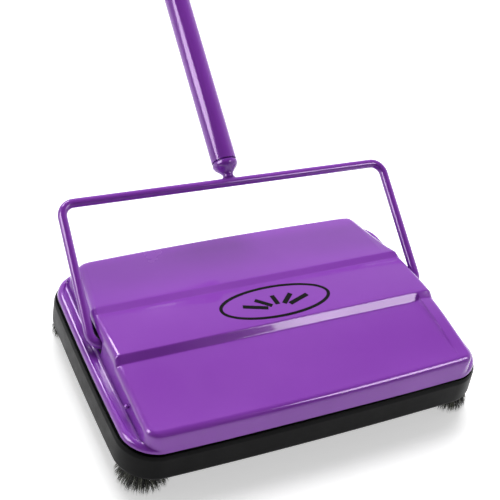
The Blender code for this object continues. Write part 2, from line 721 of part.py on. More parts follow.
def dust_pans():
    """Two troughs that hug the rotor, each on a rod along its outer edge."""
    for end, where in ((-1, "front"), (1, "rear")):
        flip = Matrix.Rotation(math.pi, 4, "Z") if end > 0 else Matrix()
        hinge = flip @ Matrix.Translation((0, -PAN_HINGE_Y, PAN_HINGE_Z))
        axis = add_empty(f"pan_axis_{where}", HEAD, hinge)
        back = Matrix.Translation((0, PAN_HINGE_Y, -PAN_HINGE_Z))
        outer = pan_section(PAN_SHEET)
        outer += [(outer[-1][0], outer[-1][1] + 0.0006), (outer[0][0] + 0.001, outer[0][1] + 0.0035)]
        pan = add_object(f"dust_pan_{where}", prism("pan", outer, PAN_HALF_LENGTH), PARTS, BLACK_PLASTIC,
                         axis, back)
        inner = pan_section(0.0)
        inner += [(inner[-1][0] + 0.001, 0.0400), (inner[0][0] + 0.0010, 0.0400)]
        hollow = cutter(f"pan_hollow_{where}",
                        prism("pan_hollow", inner, PAN_HALF_LENGTH - 0.0015), axis, back)
        barrel_mesh = cylinder_mesh("pan_barrel", PAN_BARREL_RADIUS, 2 * PAN_HALF_LENGTH - 0.001, 16)
        barrel = cutter(f"pan_barrel_{where}", barrel_mesh, axis, Matrix())
        bore = cutter(f"pan_bore_{where}",
                      cylinder_mesh("pan_bore", PAN_ROD_RADIUS + RUNNING_GAP, 0.22, 16),
                      axis, Matrix())
        boolean(pan, hollow)
        boolean(pan, barrel, "UNION")
        boolean(pan, bore)
        half = END_PLATE_X + END_PLATE_SHEET + 0.0010
        turned(f"pan_rod_{where}",
               [(0.0, half), (PAN_ROD_RADIUS, half), (PAN_ROD_RADIUS, -half), (0.0, -half)],
               STEEL, HEAD, hinge @ Matrix.Rotation(math.pi / 2, 4, "Y"), 16)
        place = hinge @ Matrix.Translation((0.0985, 0, 0)) @ Matrix.Rotation(math.pi / 2, 4, "Y")
        poly_curve(f"pan_spring_{where}", coil(0.0030, 4, 0.0080), 0.0005, STEEL, HEAD, place,
                   resolution=0)


def bend(points, centre, radius, start, end, steps=5):
    """Adds an arc in the XZ plane, its angles in degrees from +X towards +Z."""
    for step in range(steps + 1):
        angle = math.radians(start + (end - start) * step / steps)
        points.append((centre[0] + radius * math.cos(angle), 0, centre[1] + radius * math.sin(angle)))


def bail():
    """One rod: a foot turned in at each side, two legs and the bar between them."""
    points = [(-FOOT_END_X, 0, 0)]
    corner_x = BAIL_HALF_WIDTH - BAIL_BEND
    top = BAIL_LENGTH - BAIL_BEND
    bend(points, (-corner_x, BAIL_BEND), BAIL_BEND, 270, 180)
    bend(points, (-corner_x, top), BAIL_BEND, 180, 90)
    bend(points, (corner_x, top), BAIL_BEND, 90, 0)
    bend(points, (corner_x, BAIL_BEND), BAIL_BEND, 0, -90)
    points.append((FOOT_END_X, 0, 0))
    poly_curve("bail", points, ROD_RADIUS, PURPLE, BAIL_SWING, Matrix(), resolution=3)


def handle():
    """Ferrule, three tubes with plugs inside their joints, and the grip."""
    # The ferrule's neck is saddled over the bar, so it starts above the rod's top
    ferrule = [
        (0.0, 0.0450), (0.0075, 0.0450), (0.0088, 0.0440), (0.0088, FERRULE_LENGTH - 0.0009),
        (0.0096, FERRULE_LENGTH - 0.0009), (0.0100, FERRULE_LENGTH - 0.0013), (0.0100, 0.0138),
        (0.0088, 0.0118), (0.0050, 0.0080), (0.0042, 0.0064), (0.0042, ROD_RADIUS + TOUCH_GAP),
        (0.0, ROD_RADIUS + TOUCH_GAP),
    ]
    # At rest the handle stands in a plane square to the head, though the bail is askew
    square_up = math.atan(math.sin(BAIL_SKEW) * math.sin(BAIL_LEAN))
    foot = Matrix.Translation((0, 0, BAIL_LENGTH)) @ Matrix.Rotation(square_up, 4, "Y")
    base = add_empty("handle_foot", BAIL_SWING, foot)
    turned("handle_ferrule", ferrule, PURPLE, base, Matrix(), 20)
    low = FERRULE_LENGTH + TOUCH_GAP
    for name in ("lower", "middle", "upper"):
        ring(f"handle_tube_{name}", TUBE_BORE, TUBE_RADIUS, low, low + TUBE_LENGTH, PURPLE, base,
             Matrix(), 20)
        low += TUBE_LENGTH + TOUCH_GAP
        if name != "upper":
            joint = low - TOUCH_GAP / 2
            ring(f"handle_coupler_{name}", 0.0078, TUBE_BORE - TOUCH_GAP,
                 joint - COUPLER_LENGTH / 2, joint + COUPLER_LENGTH / 2, STEEL, base, Matrix(), 16)
    grip(base, HANDLE_LENGTH - BAIL_LENGTH)


def grip(base, top):
    """A moulded sleeve over the last tube, with a flat hanging eye at its end."""
    bore = TUBE_RADIUS + TOUCH_GAP
    low = top - GRIP_LENGTH
    sleeve_top = top - 0.026
    profile = [
        (0.0, sleeve_top + 0.004), (0.0080, sleeve_top + 0.003), (GRIP_RADIUS - 0.001, sleeve_top),
        (GRIP_RADIUS, sleeve_top - 0.006), (GRIP_RADIUS - 0.0006, low + 0.045),
        (GRIP_RADIUS, low + 0.004), (GRIP_RADIUS - 0.001, low), (bore, low),
        (bore, top - 0.0370), (0.0, top - 0.0370),
    ]
    obj = turned("hand_grip", profile, BLACK_PLASTIC, base, Matrix(), 20)
    eye_centre = top - 0.0120
    eye = cutter("grip_eye", cylinder_mesh("grip_eye", 0.0120, 0.0080, 24), base,
                 Matrix.Translation((0, 0, eye_centre)))
    web = cutter("grip_web", box_mesh("grip_web", (0.0078, 0.0200, 0.0140)), base,
                 Matrix.Translation((0, 0, eye_centre - 0.0100)))
    hole = cutter("grip_hole", cylinder_mesh("grip_hole", 0.0060, 0.0200, 20), base,
                  Matrix.Translation((0, 0, eye_centre)))
    boolean(obj, eye, "UNION")
    boolean(obj, web, "UNION")
    boolean(obj, hole)


clear_scene()
PARTS = new_collection("carpet_sweeper")
CUTTERS = new_collection("cutters")
HEAD = add_empty("head", None, Matrix.Translation((0, HEAD_Y, 0)))
BAIL_AXIS = add_empty(
    "bail_axis", HEAD,
    Matrix.Translation((0, BAIL_PIVOT_Y, BAIL_PIVOT_Z)) @ Matrix.Rotation(BAIL_SKEW, 4, "Z"),
)
BAIL_SWING = add_empty("bail_swing", BAIL_AXIS, Matrix.Rotation(-BAIL_LEAN, 4, "X"))

top_cover()
cover_rivets()
bumper()
base_frame()
end_plates()
rotor_bearings()
bail_bushes()
friction_springs()
wheel_stubs()
wheels()
rotor()
corner_brushes()
dust_pans()
bail()
handle()
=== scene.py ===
import json
import math

import bmesh
import bpy
import numpy as np
from mathutils import Matrix, Vector


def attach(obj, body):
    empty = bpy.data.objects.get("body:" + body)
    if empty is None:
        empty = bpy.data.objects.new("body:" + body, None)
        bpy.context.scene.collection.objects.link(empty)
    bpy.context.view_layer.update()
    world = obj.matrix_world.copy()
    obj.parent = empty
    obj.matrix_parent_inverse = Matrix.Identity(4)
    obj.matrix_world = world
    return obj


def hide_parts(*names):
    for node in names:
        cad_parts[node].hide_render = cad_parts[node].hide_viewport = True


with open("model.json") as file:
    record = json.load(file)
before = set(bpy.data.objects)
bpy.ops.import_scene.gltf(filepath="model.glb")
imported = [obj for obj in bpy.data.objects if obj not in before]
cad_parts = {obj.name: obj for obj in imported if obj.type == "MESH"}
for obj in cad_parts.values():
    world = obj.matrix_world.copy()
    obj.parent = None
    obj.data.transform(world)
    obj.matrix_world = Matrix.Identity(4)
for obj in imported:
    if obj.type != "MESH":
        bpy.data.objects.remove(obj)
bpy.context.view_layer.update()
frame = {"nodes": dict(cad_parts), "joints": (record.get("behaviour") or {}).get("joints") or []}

JOINTS = {joint["name"]: joint for joint in frame["joints"]}
SIDES, ENDS = ((-1, "left"), (1, "right")), ((-1, "front"), (1, "rear"))
CORNERS = [(side, end, f"{where}_{name}") for side, name in SIDES for end, where in ENDS]

# Head, metres, from its own middle: the same sizes as the solids
HEAD_Y = JOINTS["rotor_spin"]["pos_m"][1]
HEAD_HALF_X, HEAD_HALF_Y = 0.143, 0.0945
CORNER_RADIUS = 0.027
FRONT_BOW, SIDE_BOW = 0.0024, 0.0015
BUMPER_FOOT, BUMPER_TOP = 0.016, 0.0399
BUMPER_THICKNESS = 0.0075
COVER_RIM, COVER_SHEET = 0.0407, 0.0012
COVER_HALF_X, COVER_HALF_Y, COVER_RADIUS = 0.1396, 0.0923, 0.0235
LEDGE_HEIGHT, RIDGE_HEIGHT, LIP_ROUNDING = 0.0434, 0.0446, 0.0036
RIDGE_INSET, RIDGE_BOW, RIDGE_FALL = 0.0044, 0.0014, 0.0009
BLOCK_HALF_X, BLOCK_HALF_Y, BLOCK_RADIUS = 0.1296, 0.0919, 0.013
SIDE_SLOPE, END_SLOPE, RADIUS_LOSS = 10.0, 5.4, 0.45
REAR_TAPER, REAR_TAPER_Y, EDGE_ROUNDING, FOOT_ROUNDING = 12.5, 0.03, 0.0042, 0.0022
FRONT_PANEL_LOW, FRONT_PANEL_HIGH = 0.0568, 0.0605
MID_BAND_HEIGHT, MID_BAND_REAR = 0.0654, 0.062
REAR_RIDGE, REAR_PANEL_LOW = 0.0634, 0.0564
FRONT_STEP_Y, REAR_STEP_Y = (-0.0266, -0.0216), (0.024, 0.03)
BORDER_X, BORDER_RISE, BORDER_FALL = (0.1152, 0.1166), 0.0022, 0.1
SLOT_SIZE, SLOT_OFFSET, SIDE_WALL_X = (0.045, 0.0118), (0.016, 0.0016), 0.13

ROTOR_Z = JOINTS["rotor_spin"]["pos_m"][2]
WHEEL_WIDTH, TYRE_RADIUS, HUB_RADIUS, STUB_RADIUS = 0.009, 0.0188, 0.0155, 0.003
ROTOR_TIP_RADIUS, ROTOR_CORE_RADIUS, RING_RADIUS = 0.028, 0.009, 0.0125
ROTOR_HALF_LENGTH, ROTOR_CORE_HALF, AXLE_HALF, AXLE_RADIUS = 0.098, 0.1105, 0.1165, 0.0025
TUFTS_PER_ROW, HAIRS_PER_TUFT, TUFT_ROWS, ROW_TWIST = 46, 17, 4, math.radians(120)
CROWN_HEIGHT, CROWN_RADIUS, CORNER_TILT, CORNER_HAIRS = 0.013, 0.021, math.radians(10), 1500
PAN_HALF_LENGTH, PAN_HINGE_Y, PAN_HINGE_Z, PAN_SHEET = 0.096, 0.076, 0.031, 0.001
END_PLATE_X, END_PLATE_SHEET = 0.113, 0.0015
BASE_BOTTOM, BASE_SHEET = 0.034, 0.0015

PIVOT = Vector(JOINTS["bail_swing"]["pos_m"])
SWING_AXIS = Vector(JOINTS["bail_swing"]["axis"])
BAIL_SKEW, BAIL_LEAN = math.atan2(SWING_AXIS.y, SWING_AXIS.x), math.radians(57.2)
BAIL_LENGTH, BAIL_HALF_WIDTH, BAIL_BEND, ROD_RADIUS = 0.1074, 0.135, 0.01, 0.0035
FOOT_END_X = 0.1105
TUBE_RADIUS, TUBE_BORE, FERRULE_LENGTH, TUBE_LENGTH = 0.01, 0.0092, 0.0175, 0.3
HANDLE_TOP, GRIP_LENGTH, GRIP_RADIUS = 1.068 - BAIL_LENGTH, 0.12, 0.0125
TOUCH_GAP = 0.0003

# Decal, metres from the head's middle: middle, the ring's half axes, half widths of the strokes
DECAL_MIDDLE, DECAL_RING = Vector((0.0045, 0.0006)), (0.044, 0.0172)
RING_STROKE, BAR_STROKE, INK_TOP, INK_FOOT = 0.0013, 0.0019, 0.00009, 0.00002

# Studio, and the camera as fitted to the photo: degrees, focal length in pixels, metres
FLOOR_HALF, FLOOR_GLOW, WALL_GLOW, DARK_GLOW = 6, 0.52, 0.95, 0.05
CAMERA_AZIMUTH, CAMERA_ELEVATION, CAMERA_ROLL = -31.02, 38.14, 10.2
FOCAL_PIXELS, PHOTO_PIXELS, SENSOR_MM = 1065.89, 500, 36
CAMERA_RIGHT, CAMERA_UP, CAMERA_BACK = -0.00859, 0.07607, 0.81946

HEAD = Matrix.Translation((0, HEAD_Y, 0))
BAIL_AXIS = Matrix.Translation(PIVOT) @ Matrix.Rotation(BAIL_SKEW, 4, "Z")
BAIL_SWING = BAIL_AXIS @ Matrix.Rotation(-BAIL_LEAN, 4, "X")
SQUARE_UP = math.atan(math.sin(BAIL_SKEW) * math.sin(BAIL_LEAN))
HANDLE = (BAIL_SWING @ Matrix.Translation((0, 0, BAIL_LENGTH))
          @ Matrix.Rotation(SQUARE_UP, 4, "Y"))


# ---- materials

def feed(tree, value, socket):
    """Links a socket into an input, or gives the input a plain value."""
    if isinstance(value, bpy.types.NodeSocket):
        tree.links.new(value, socket)
    else:
        socket.default_value = value


def add_node(tree, kind, inputs=(), **settings):
    made = tree.nodes.new(kind)
    for key, value in settings.items():
        setattr(made, key, value)
    for key, value in dict(inputs).items():
        feed(tree, value, made.inputs[key])
    return made


def mapped(tree, value, low, high, to_low, to_high, interpolation):
    made = add_node(tree, "ShaderNodeMapRange", {
        "Value": value, "From Min": low, "From Max": high, "To Min": to_low,
        "To Max": to_high}, interpolation_type=interpolation)
    return made.outputs[0]


class Shader:
    """A Principled material and short ways to hang textures on it."""

    def __init__(self, name, color, roughness, **sockets):
        self.material = bpy.data.materials.new(name)
        self.material.use_nodes = True
        self.tree = self.material.node_tree
        self.main = self.tree.nodes["Principled BSDF"]
        self.coords = self.tree.nodes.new("ShaderNodeTexCoord").outputs["Object"]
        self.set("Base Color", (*color, 1))
        self.set("Roughness", roughness)
        for socket, value in sockets.items():
            self.set(socket.replace("_", " "), value)

    def set(self, socket, value):
        feed(self.tree, value, self.main.inputs[socket])

    def node(self, kind, inputs=(), **settings):
        return add_node(self.tree, kind, inputs, **settings)

    def stretched(self, scale):
        return self.node("ShaderNodeMapping", {"Vector": self.coords, "Scale": scale}).outputs[0]

    def noise(self, scale, detail=2.0, roughness=0.5, vector=None):
        made = self.node("ShaderNodeTexNoise", {
            "Vector": vector or self.coords, "Scale": scale, "Detail": detail,
            "Roughness": roughness})
        return made.outputs["Fac"]

    def cells(self, scale):
        made = self.node("ShaderNodeTexVoronoi", {"Vector": self.coords, "Scale": scale})
        return made.outputs["Distance"]

    def ranged(self, value, low, high, to_low=0.0, to_high=1.0):
        return mapped(self.tree, value, low, high, to_low, to_high, "LINEAR")

    def mixed(self, factor, a, b):
        a, b = (c if isinstance(c, bpy.types.NodeSocket) else (*c, 1) for c in (a, b))
        return self.node("ShaderNodeMix", {0: factor, 6: a, 7: b}, data_type="RGBA").outputs[2]

    def added(self, a, b, weight):
        made = self.node("ShaderNodeMath", {0: b, 1: weight, 2: a}, operation="MULTIPLY_ADD")
        return made.outputs[0]

    def colored(self, value, low, high, a, b):
        """Base colour a where the value is low and b where it is high."""
        self.set("Base Color", self.mixed(self.ranged(value, low, high), a, b))

    def rough(self, value, low, high, smoothest, roughest):
        self.set("Roughness", self.ranged(value, low, high, smoothest, roughest))

    def bump(self, height, strength, distance):
        made = self.node("ShaderNodeBump", {
            "Height": height, "Strength": strength, "Distance": distance})
        self.set("Normal", made.outputs[0])

    def tone(self):
        return self.node("ShaderNodeAttribute", attribute_name="tone").outputs["Fac"]


def paint(name, stretch=(1, 1, 1)):
    """Gloss enamel sprayed on steel: orange peel, faint smudges and cloudy colour."""
    s = Shader(name, (0.235, 0.05, 0.43), 0.25, Coat_Weight=0.5, Coat_Roughness=0.035,
               Specular_IOR_Level=0.3, Specular_Tint=(0.85, 0.5, 1.0, 1.0))
    clouds = s.noise(11, 4, 0.55)
    s.colored(clouds, 0.3, 0.7, (0.215, 0.04, 0.395), (0.238, 0.047, 0.43))
    smudges = s.noise(26, 5, 0.6, s.stretched(stretch))
    s.rough(smudges, 0.35, 0.75, 0.14, 0.28)
    peel = s.added(s.noise(520, 2, 0.5), s.noise(16, 1, 0.4), 7.0)
    s.bump(peel, 0.16, 0.00016)
    return s.material


def rubber(name, tint=(0.0045, 0.0045, 0.0049), dusty=(0.009, 0.009, 0.0095)):
    """Moulded black rubber: fine grain, a little bloom and dust."""
    s = Shader(name, tint, 0.35, Specular_IOR_Level=0.06)
    bloom = s.noise(34, 6, 0.65)
    s.colored(bloom, 0.45, 0.8, tint, dusty)
    s.rough(s.noise(90, 4, 0.6), 0.3, 0.7, 0.28, 0.42)
    s.bump(s.added(s.noise(2600, 3, 0.6), s.noise(160, 2, 0.5), 1.2), 0.3, 0.0001)
    return s.material


def plated(name, stretch, color=(0.62, 0.61, 0.58)):
    """Bright zinc-plated steel with drawing lines along one way."""
    s = Shader(name, color, 0.3, Metallic=1.0)
    lines = s.noise(260, 3, 0.6, s.stretched(stretch))
    s.rough(lines, 0.3, 0.75, 0.2, 0.42)
    spots = s.noise(70, 5, 0.7)
    s.colored(spots, 0.45, 0.75, color, (0.46, 0.45, 0.41))
    s.bump(lines, 0.18, 0.00008)
    return s.material


def moulded(name, color, grain=1500, roughness=(0.34, 0.5)):
    """Moulded plastic with a spark-eroded grain."""
    s = Shader(name, color, 0.42)
    lighter = tuple(0.012 + 1.25 * c for c in color)
    s.colored(s.noise(45, 4, 0.6), 0.4, 0.75, color, lighter)
    s.rough(s.noise(130, 3, 0.6), 0.3, 0.7, *roughness)
    s.bump(s.cells(grain), 0.2, 0.00008)
    return s.material


def black_sheet(name):
    """Black stoved enamel on thin steel sheet, a little scuffed."""
    s = Shader(name, (0.016, 0.016, 0.018), 0.35, Specular_IOR_Level=0.6)
    scuffs = s.noise(210, 4, 0.7, s.stretched((1, 6, 6)))
    s.colored(scuffs, 0.62, 0.8, (0.014, 0.014, 0.016), (0.075, 0.073, 0.07))
    s.rough(s.noise(60, 5, 0.6), 0.3, 0.7, 0.28, 0.48)
    s.bump(s.noise(700, 2, 0.5), 0.12, 0.0001)
    return s.material


def bristle(name, dark, pale):
    """Bristle fibres: each has its own tone, from near black to pale horsehair grey."""
    s = Shader(name, dark, 0.5, Sheen_Weight=0.03)
    along = s.noise(900, 2, 0.5)
    s.set("Base Color", s.mixed(s.tone(), dark, pale))
    s.rough(along, 0.3, 0.7, 0.42, 0.68)
    s.bump(along, 0.15, 0.00005)
    return s.material


def timber(name):
    """Turned beech: rings stretched along the axis, with short dark flecks."""
    s = Shader(name, (0.5, 0.33, 0.18), 0.5)
    grain = s.noise(150, 5, 0.6, s.stretched((0.06, 1, 1)))
    flecks = s.noise(800, 2, 0.5, s.stretched((0.1, 1, 1)))
    color = s.mixed(s.ranged(grain, 0.3, 0.7), (0.42, 0.26, 0.13), (0.58, 0.41, 0.24))
    s.colored(flecks, 0.62, 0.72, color, (0.3, 0.17, 0.08))
    s.rough(grain, 0.3, 0.7, 0.45, 0.62)
    s.bump(grain, 0.3, 0.0002)
    return s.material


# ---- mesh code

def linked(name, data):
    obj = bpy.data.objects.new(name, data)
    bpy.context.scene.collection.objects.link(obj)
    return obj


def piece(name, verts, faces, material, body, nodes=(), slot=None, matrix=None, angle=40,
          tones=None):
    """A mesh piece in the row frame that rides on a body and stands for CAD nodes."""
    mesh = bpy.data.meshes.new(name)
    mesh.from_pydata([tuple(v) for v in verts], [], [tuple(f) for f in faces])
    if tones is not None:
        layer = mesh.attributes.new("tone", "FLOAT_COLOR", "POINT")
        layer.data.foreach_set("color", np.repeat(np.asarray(tones, np.float32), 4))
    mesh.transform(matrix or Matrix.Identity(4))
    bm = bmesh.new()
    bm.from_mesh(mesh)
    bmesh.ops.remove_doubles(bm, verts=bm.verts, dist=1e-7)
    bmesh.ops.recalc_face_normals(bm, faces=bm.faces)
    bm.to_mesh(mesh)
    bm.free()
    mesh.shade_smooth()
    mesh.set_sharp_from_angle(angle=math.radians(angle))
    mesh.materials.append(material)
    obj = linked(name, mesh)
    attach(obj, body)
    if nodes:
        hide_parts(*([nodes] if isinstance(nodes, str) else nodes))
    return obj


def joined(parts):
    """(vertices, faces) of several closed meshes as one."""
    verts, faces, base = [], [], 0
    for part_verts, part_faces in parts:
        verts += [tuple(v) for v in part_verts]
        faces += [tuple(i + base for i in face) for face in part_faces]
        base += len(part_verts)
    return verts, faces


def placed(part, matrix):
    verts, faces = part
    return [matrix @ Vector(v) for v in verts], faces


def rounded(points, radius, steps=3, closed=False):
    """The outline with each corner eased by a short arc."""
    out = []
    points = [Vector(p) for p in points]
    for i, p in enumerate(points):
        if not closed and i in (0, len(points) - 1):
            out.append(p)
            continue
        before, after = points[i - 1], points[(i + 1) % len(points)]
        reach = min(radius, (before - p).length / 2.1, (after - p).length / 2.1)
        start = p + (before - p).normalized() * reach
        end = p + (after - p).normalized() * reach
        for k in range(steps + 1):
            t = k / steps
            out.append(start * (1 - t) ** 2 + p * (2 * t * (1 - t)) + end * t * t)
    return out


def quads(rows, columns, rows_loop=False, columns_loop=True):
    """Faces between neighbouring rows of a grid of vertices, numbered row by row."""
    faces = []
    for i in range(rows if rows_loop else rows - 1):
        a, b = i * columns, (i + 1) % rows * columns
        for k in range(columns if columns_loop else columns - 1):
            m = (k + 1) % columns
            faces.append((a + k, a + m, b + m, b + k))
    return faces


def circle(count):
    """Points of the unit circle."""
    return [(math.cos(2 * math.pi * k / count), math.sin(2 * math.pi * k / count))
            for k in range(count)]


def lathe(profile, sides=64, closed=True):
    """Turns an (r, z) outline about local Z."""
    verts = [(r * c, r * s, z) for c, s in circle(sides) for r, z in profile]
    return verts, quads(sides, len(profile), True, closed)


def turned(name, profile, material, body, node, slot, matrix, sides=64, ease=0.0004, closed=True):
    shape = lathe(rounded(profile, ease, 3, closed), sides, closed)
    return piece(name, *shape, material, body, node, slot, matrix)


def rod(points, radius, sides, dome):
    """A round bar along points, with eased ends."""
    points = [Vector(p) for p in points]
    last = len(points) - 1
    tangents = [(points[min(i + 1, last)] - points[max(i - 1, 0)]).normalized()
                for i in range(last + 1)]
    normal = tangents[0].orthogonal().normalized()
    rings = []
    for p, t in zip(points, tangents):
        normal = (normal - t * normal.dot(t)).normalized()
        rings.append((p, normal.copy(), t.cross(normal), radius))
    head, tail = ([(p + t * dome * (1 - math.cos(a)), n, s, radius - dome * (1 - math.sin(a)))
                   for a in (0.0, 0.5, 1.0)]
                  for (p, n, s, _), t in ((rings[0], tangents[0]), (rings[-1], -tangents[-1])))
    rings = head + rings[1:-1] + tail[::-1]
    verts = [p + n * (wide * c) + s * (wide * d)
             for p, n, s, wide in rings for c, d in circle(sides)]
    total = len(verts)
    return verts, quads(len(rings), sides) + [tuple(reversed(range(sides))),
                                              tuple(range(total - sides, total))]


def prism(outline, low, high, ease=0.0, axis="X"):
    """A solid of one outline in the two other axes, low to high along X or Z, edges eased."""
    outline = [Vector(p) for p in outline]
    area = sum(a.x * b.y - b.x * a.y for a, b in zip(outline, outline[1:] + outline[:1]))
    if area < 0:
        outline.reverse()
    count = len(outline)

    def inset(amount):
        out = []
        for i, p in enumerate(outline):
            a = (p - outline[i - 1]).normalized()
            b = (outline[(i + 1) % count] - p).normalized()
            normal = Vector((-(a.y + b.y), a.x + b.x))
            scale = max(0.35, normal.length / 2) * max(normal.length, 1e-9)
            out.append(p + normal * (amount / scale if normal.length > 1e-6 else 0))
        return out

    levels = [(low, 0.0), (high, 0.0)]
    if ease:
        levels = [(low, ease), (low + 0.3 * ease, 0.3 * ease), (low + ease, 0.0),
                  (high - ease, 0.0), (high - 0.3 * ease, 0.3 * ease), (high, ease)]
    verts = []
    for height, amount in levels:
        for p in (inset(amount) if amount else outline):
            verts.append((height, p.x, p.y) if axis == "X" else (p.x, p.y, height))
    ends = [tuple(range(count)), tuple(range(len(verts) - count, len(verts)))]
    return verts, ends + quads(len(levels), count)


def around(radius, angle, height):
    """Points at those radii, angles and heights about local Z, one row each."""
    return np.stack([radius * np.cos(angle), radius * np.sin(angle),
                     np.broadcast_to(height, angle.shape)], 1)


def fibres(roots, tips, bends, radii, segments):
    """Tapered three-sided hairs from roots to tips, each bowed by its own vector."""
    count = len(roots)
    along = tips - roots
    unit = along / np.linalg.norm(along, axis=1, keepdims=True)
    helper = np.where(np.abs(unit[:, 2:3]) < 0.9, [[0.0, 0.0, 1.0]], [[1.0, 0.0, 0.0]])
    u = np.cross(unit, helper)
    u /= np.linalg.norm(u, axis=1, keepdims=True)
    v = np.cross(unit, u)
    levels = []
    for k in range(segments):
        t = k / segments
        centre = roots + along * t + bends * (4 * t * (1 - t))
        wide = radii * (1 - 0.55 * t)
        levels += [centre + (u * c + v * s) * wide[:, None] for c, s in circle(3)]
    levels.append(tips)
    verts = np.stack(levels, 1)
    per = verts.shape[1]
    pattern = [(2, 1, 0)] + quads(segments, 3)
    top = 3 * (segments - 1)
    pattern += [(top + side, top + (side + 1) % 3, per - 1) for side in range(3)]
    faces = [tuple(i * per + j for j in face) for i in range(count) for face in pattern]
    return verts.reshape(-1, 3), faces, per


def smoothstep(low, high, value):
    t = min(1.0, max(0.0, (value - low) / (high - low)))
    return t * t * (3 - 2 * t)


def ramp(low, high, value, ease=0.14):
    """A straight rise from 0 to 1 between low and high, with a short curve at each end."""
    t = (value - low) / (high - low)
    if t > 0.5:
        return 1 - ramp(low, high, low + high - value, ease)
    if t >= ease:
        return t
    return (t + ease) ** 2 / (4 * ease) if t > -ease else 0.0


def bowed(x, y, half_x, half_y):
    """Moves a point of a straight-sided plan to where the head's sides bow out."""
    return (x + SIDE_BOW * (1 - (y / half_y) ** 2) * x / half_x,
            y + FRONT_BOW * (1 - (x / half_x) ** 2) * y / half_y)


def inside_distance(x, y, half_x, half_y, radius):
    """How far a point lies inside a bowed plan with rounded corners."""
    half_x, half_y = (half_x + SIDE_BOW * (1 - (y / half_y) ** 2),
                      half_y + FRONT_BOW * (1 - (x / half_x) ** 2))
    over_x, over_y = abs(x) - (half_x - radius), abs(y) - (half_y - radius)
    corner = math.hypot(max(over_x, 0.0), max(over_y, 0.0))
    return radius - corner - min(max(over_x, over_y), 0.0)


def panel_height(x, y):
    """Height of the cover's top: front panel, raised mid band and rear panel."""
    beyond = max(0.0, x - BORDER_X[1])
    along_front = smoothstep(-BLOCK_HALF_Y, FRONT_STEP_Y[0], y)
    front = FRONT_PANEL_LOW + (FRONT_PANEL_HIGH - FRONT_PANEL_LOW) * along_front
    front += (BORDER_RISE * ramp(*BORDER_X, x) - BORDER_FALL * beyond) * along_front ** 0.7
    along_band = max(0.0, (y - FRONT_STEP_Y[1]) / (REAR_STEP_Y[0] - FRONT_STEP_Y[1]))
    band = MID_BAND_HEIGHT + (MID_BAND_REAR - MID_BAND_HEIGHT) * min(along_band, 1.0) ** 1.3
    along_rear = max(0.0, (y - REAR_STEP_Y[1]) / (BLOCK_HALF_Y - REAR_STEP_Y[1]))
    rear = REAR_RIDGE + (REAR_PANEL_LOW - REAR_RIDGE) * along_rear
    rear -= BORDER_FALL * beyond * smoothstep(REAR_STEP_Y[1], 0.045, y)
    height = front + (band - front) * ramp(*FRONT_STEP_Y, y)
    return height + (rear - height) * ramp(*REAR_STEP_Y, y)


def block_height(x, y):
    """Height of the block over a point: steep sides, narrower to the rear, rounded top edge."""
    low, high = -0.01, 0.032
    top = panel_height(x, y)
    taper = REAR_TAPER * max(0.0, y - REAR_TAPER_Y)
    for _ in range(17):
        rise = (low + high) / 2
        radius = max(0.002, BLOCK_RADIUS - RADIUS_LOSS * max(rise, 0.0))
        inside = inside_distance(abs(x) + taper * max(rise, 0.0), y,
                                 BLOCK_HALF_X - rise / SIDE_SLOPE,
                                 BLOCK_HALF_Y - rise / END_SLOPE, radius)
        below = top - LEDGE_HEIGHT - rise
        reach = math.hypot(max(0.0, EDGE_ROUNDING - inside), max(0.0, EDGE_ROUNDING - below))
        low, high = (rise, high) if reach < EDGE_ROUNDING else (low, rise)
    return LEDGE_HEIGHT + low


def cover_height(x, y):
    """Height of the cover's outer face over a point of the head's plan."""
    inside = max(0.0, inside_distance(x, y, COVER_HALF_X, COVER_HALF_Y, COVER_RADIUS))
    part = 1 - min(inside / LIP_ROUNDING, 1.0)
    lip = COVER_RIM + (RIDGE_HEIGHT - COVER_RIM) * math.sqrt(max(0.0, 1 - part * part))
    ridge = RIDGE_INSET - RIDGE_BOW * max(0.0, 1 - (y / 0.065) ** 2)
    ledge = lip + (LEDGE_HEIGHT - lip) * ramp(ridge, ridge + RIDGE_FALL, inside)
    beside = -inside_distance(x, y, BLOCK_HALF_X, BLOCK_HALF_Y, BLOCK_RADIUS)
    if 0 < beside < FOOT_ROUNDING:
        fillet = FOOT_ROUNDING - math.sqrt(beside * (2 * FOOT_ROUNDING - beside))
        ledge += fillet * ramp(0.002, 0.005, inside + beside)
    return max(ledge, block_height(x, y))


def rounded_plan(x, y, half_x, half_y, radius):
    """Moves a point of a rectangle's grid so that the grid fills the rounded, bowed plan."""
    in_x, in_y = (abs(x) - (half_x - radius)) / radius, (abs(y) - (half_y - radius)) / radius
    if in_x > 0 and in_y > 0:
        to_x = half_x - radius + radius * in_x * math.sqrt(1 - in_y * in_y / 2)
        to_y = half_y - radius + radius * in_y * math.sqrt(1 - in_x * in_x / 2)
        x, y = math.copysign(to_x, x), math.copysign(to_y, y)
    return bowed(x, y, half_x, half_y)


def plan_outline(inset, corner_steps=14, side_points=24):
    """The head's plan outline, anticlockwise, this far inside the bumper's outer face."""
    half_x, half_y, radius = HEAD_HALF_X - inset, HEAD_HALF_Y - inset, CORNER_RADIUS - inset
    points = []
    for turn, (side_x, side_y) in enumerate(((1, 1), (-1, 1), (-1, -1), (1, -1))):
        centre = Vector((side_x * (half_x - radius), side_y * (half_y - radius)))
        for step in range(corner_steps + 1):
            angle = math.pi / 2 * (turn + step / corner_steps)
            points.append(centre + radius * Vector((math.cos(angle), math.sin(angle))))
        start = points[-1]
        end = Vector((-start.x, start.y)) if turn % 2 == 0 else Vector((start.x, -start.y))
        points += [start.lerp(end, (i + 1) / (side_points + 1)) for i in range(side_points)]
    return [Vector(bowed(p.x, p.y, half_x, half_y)) for p in points]


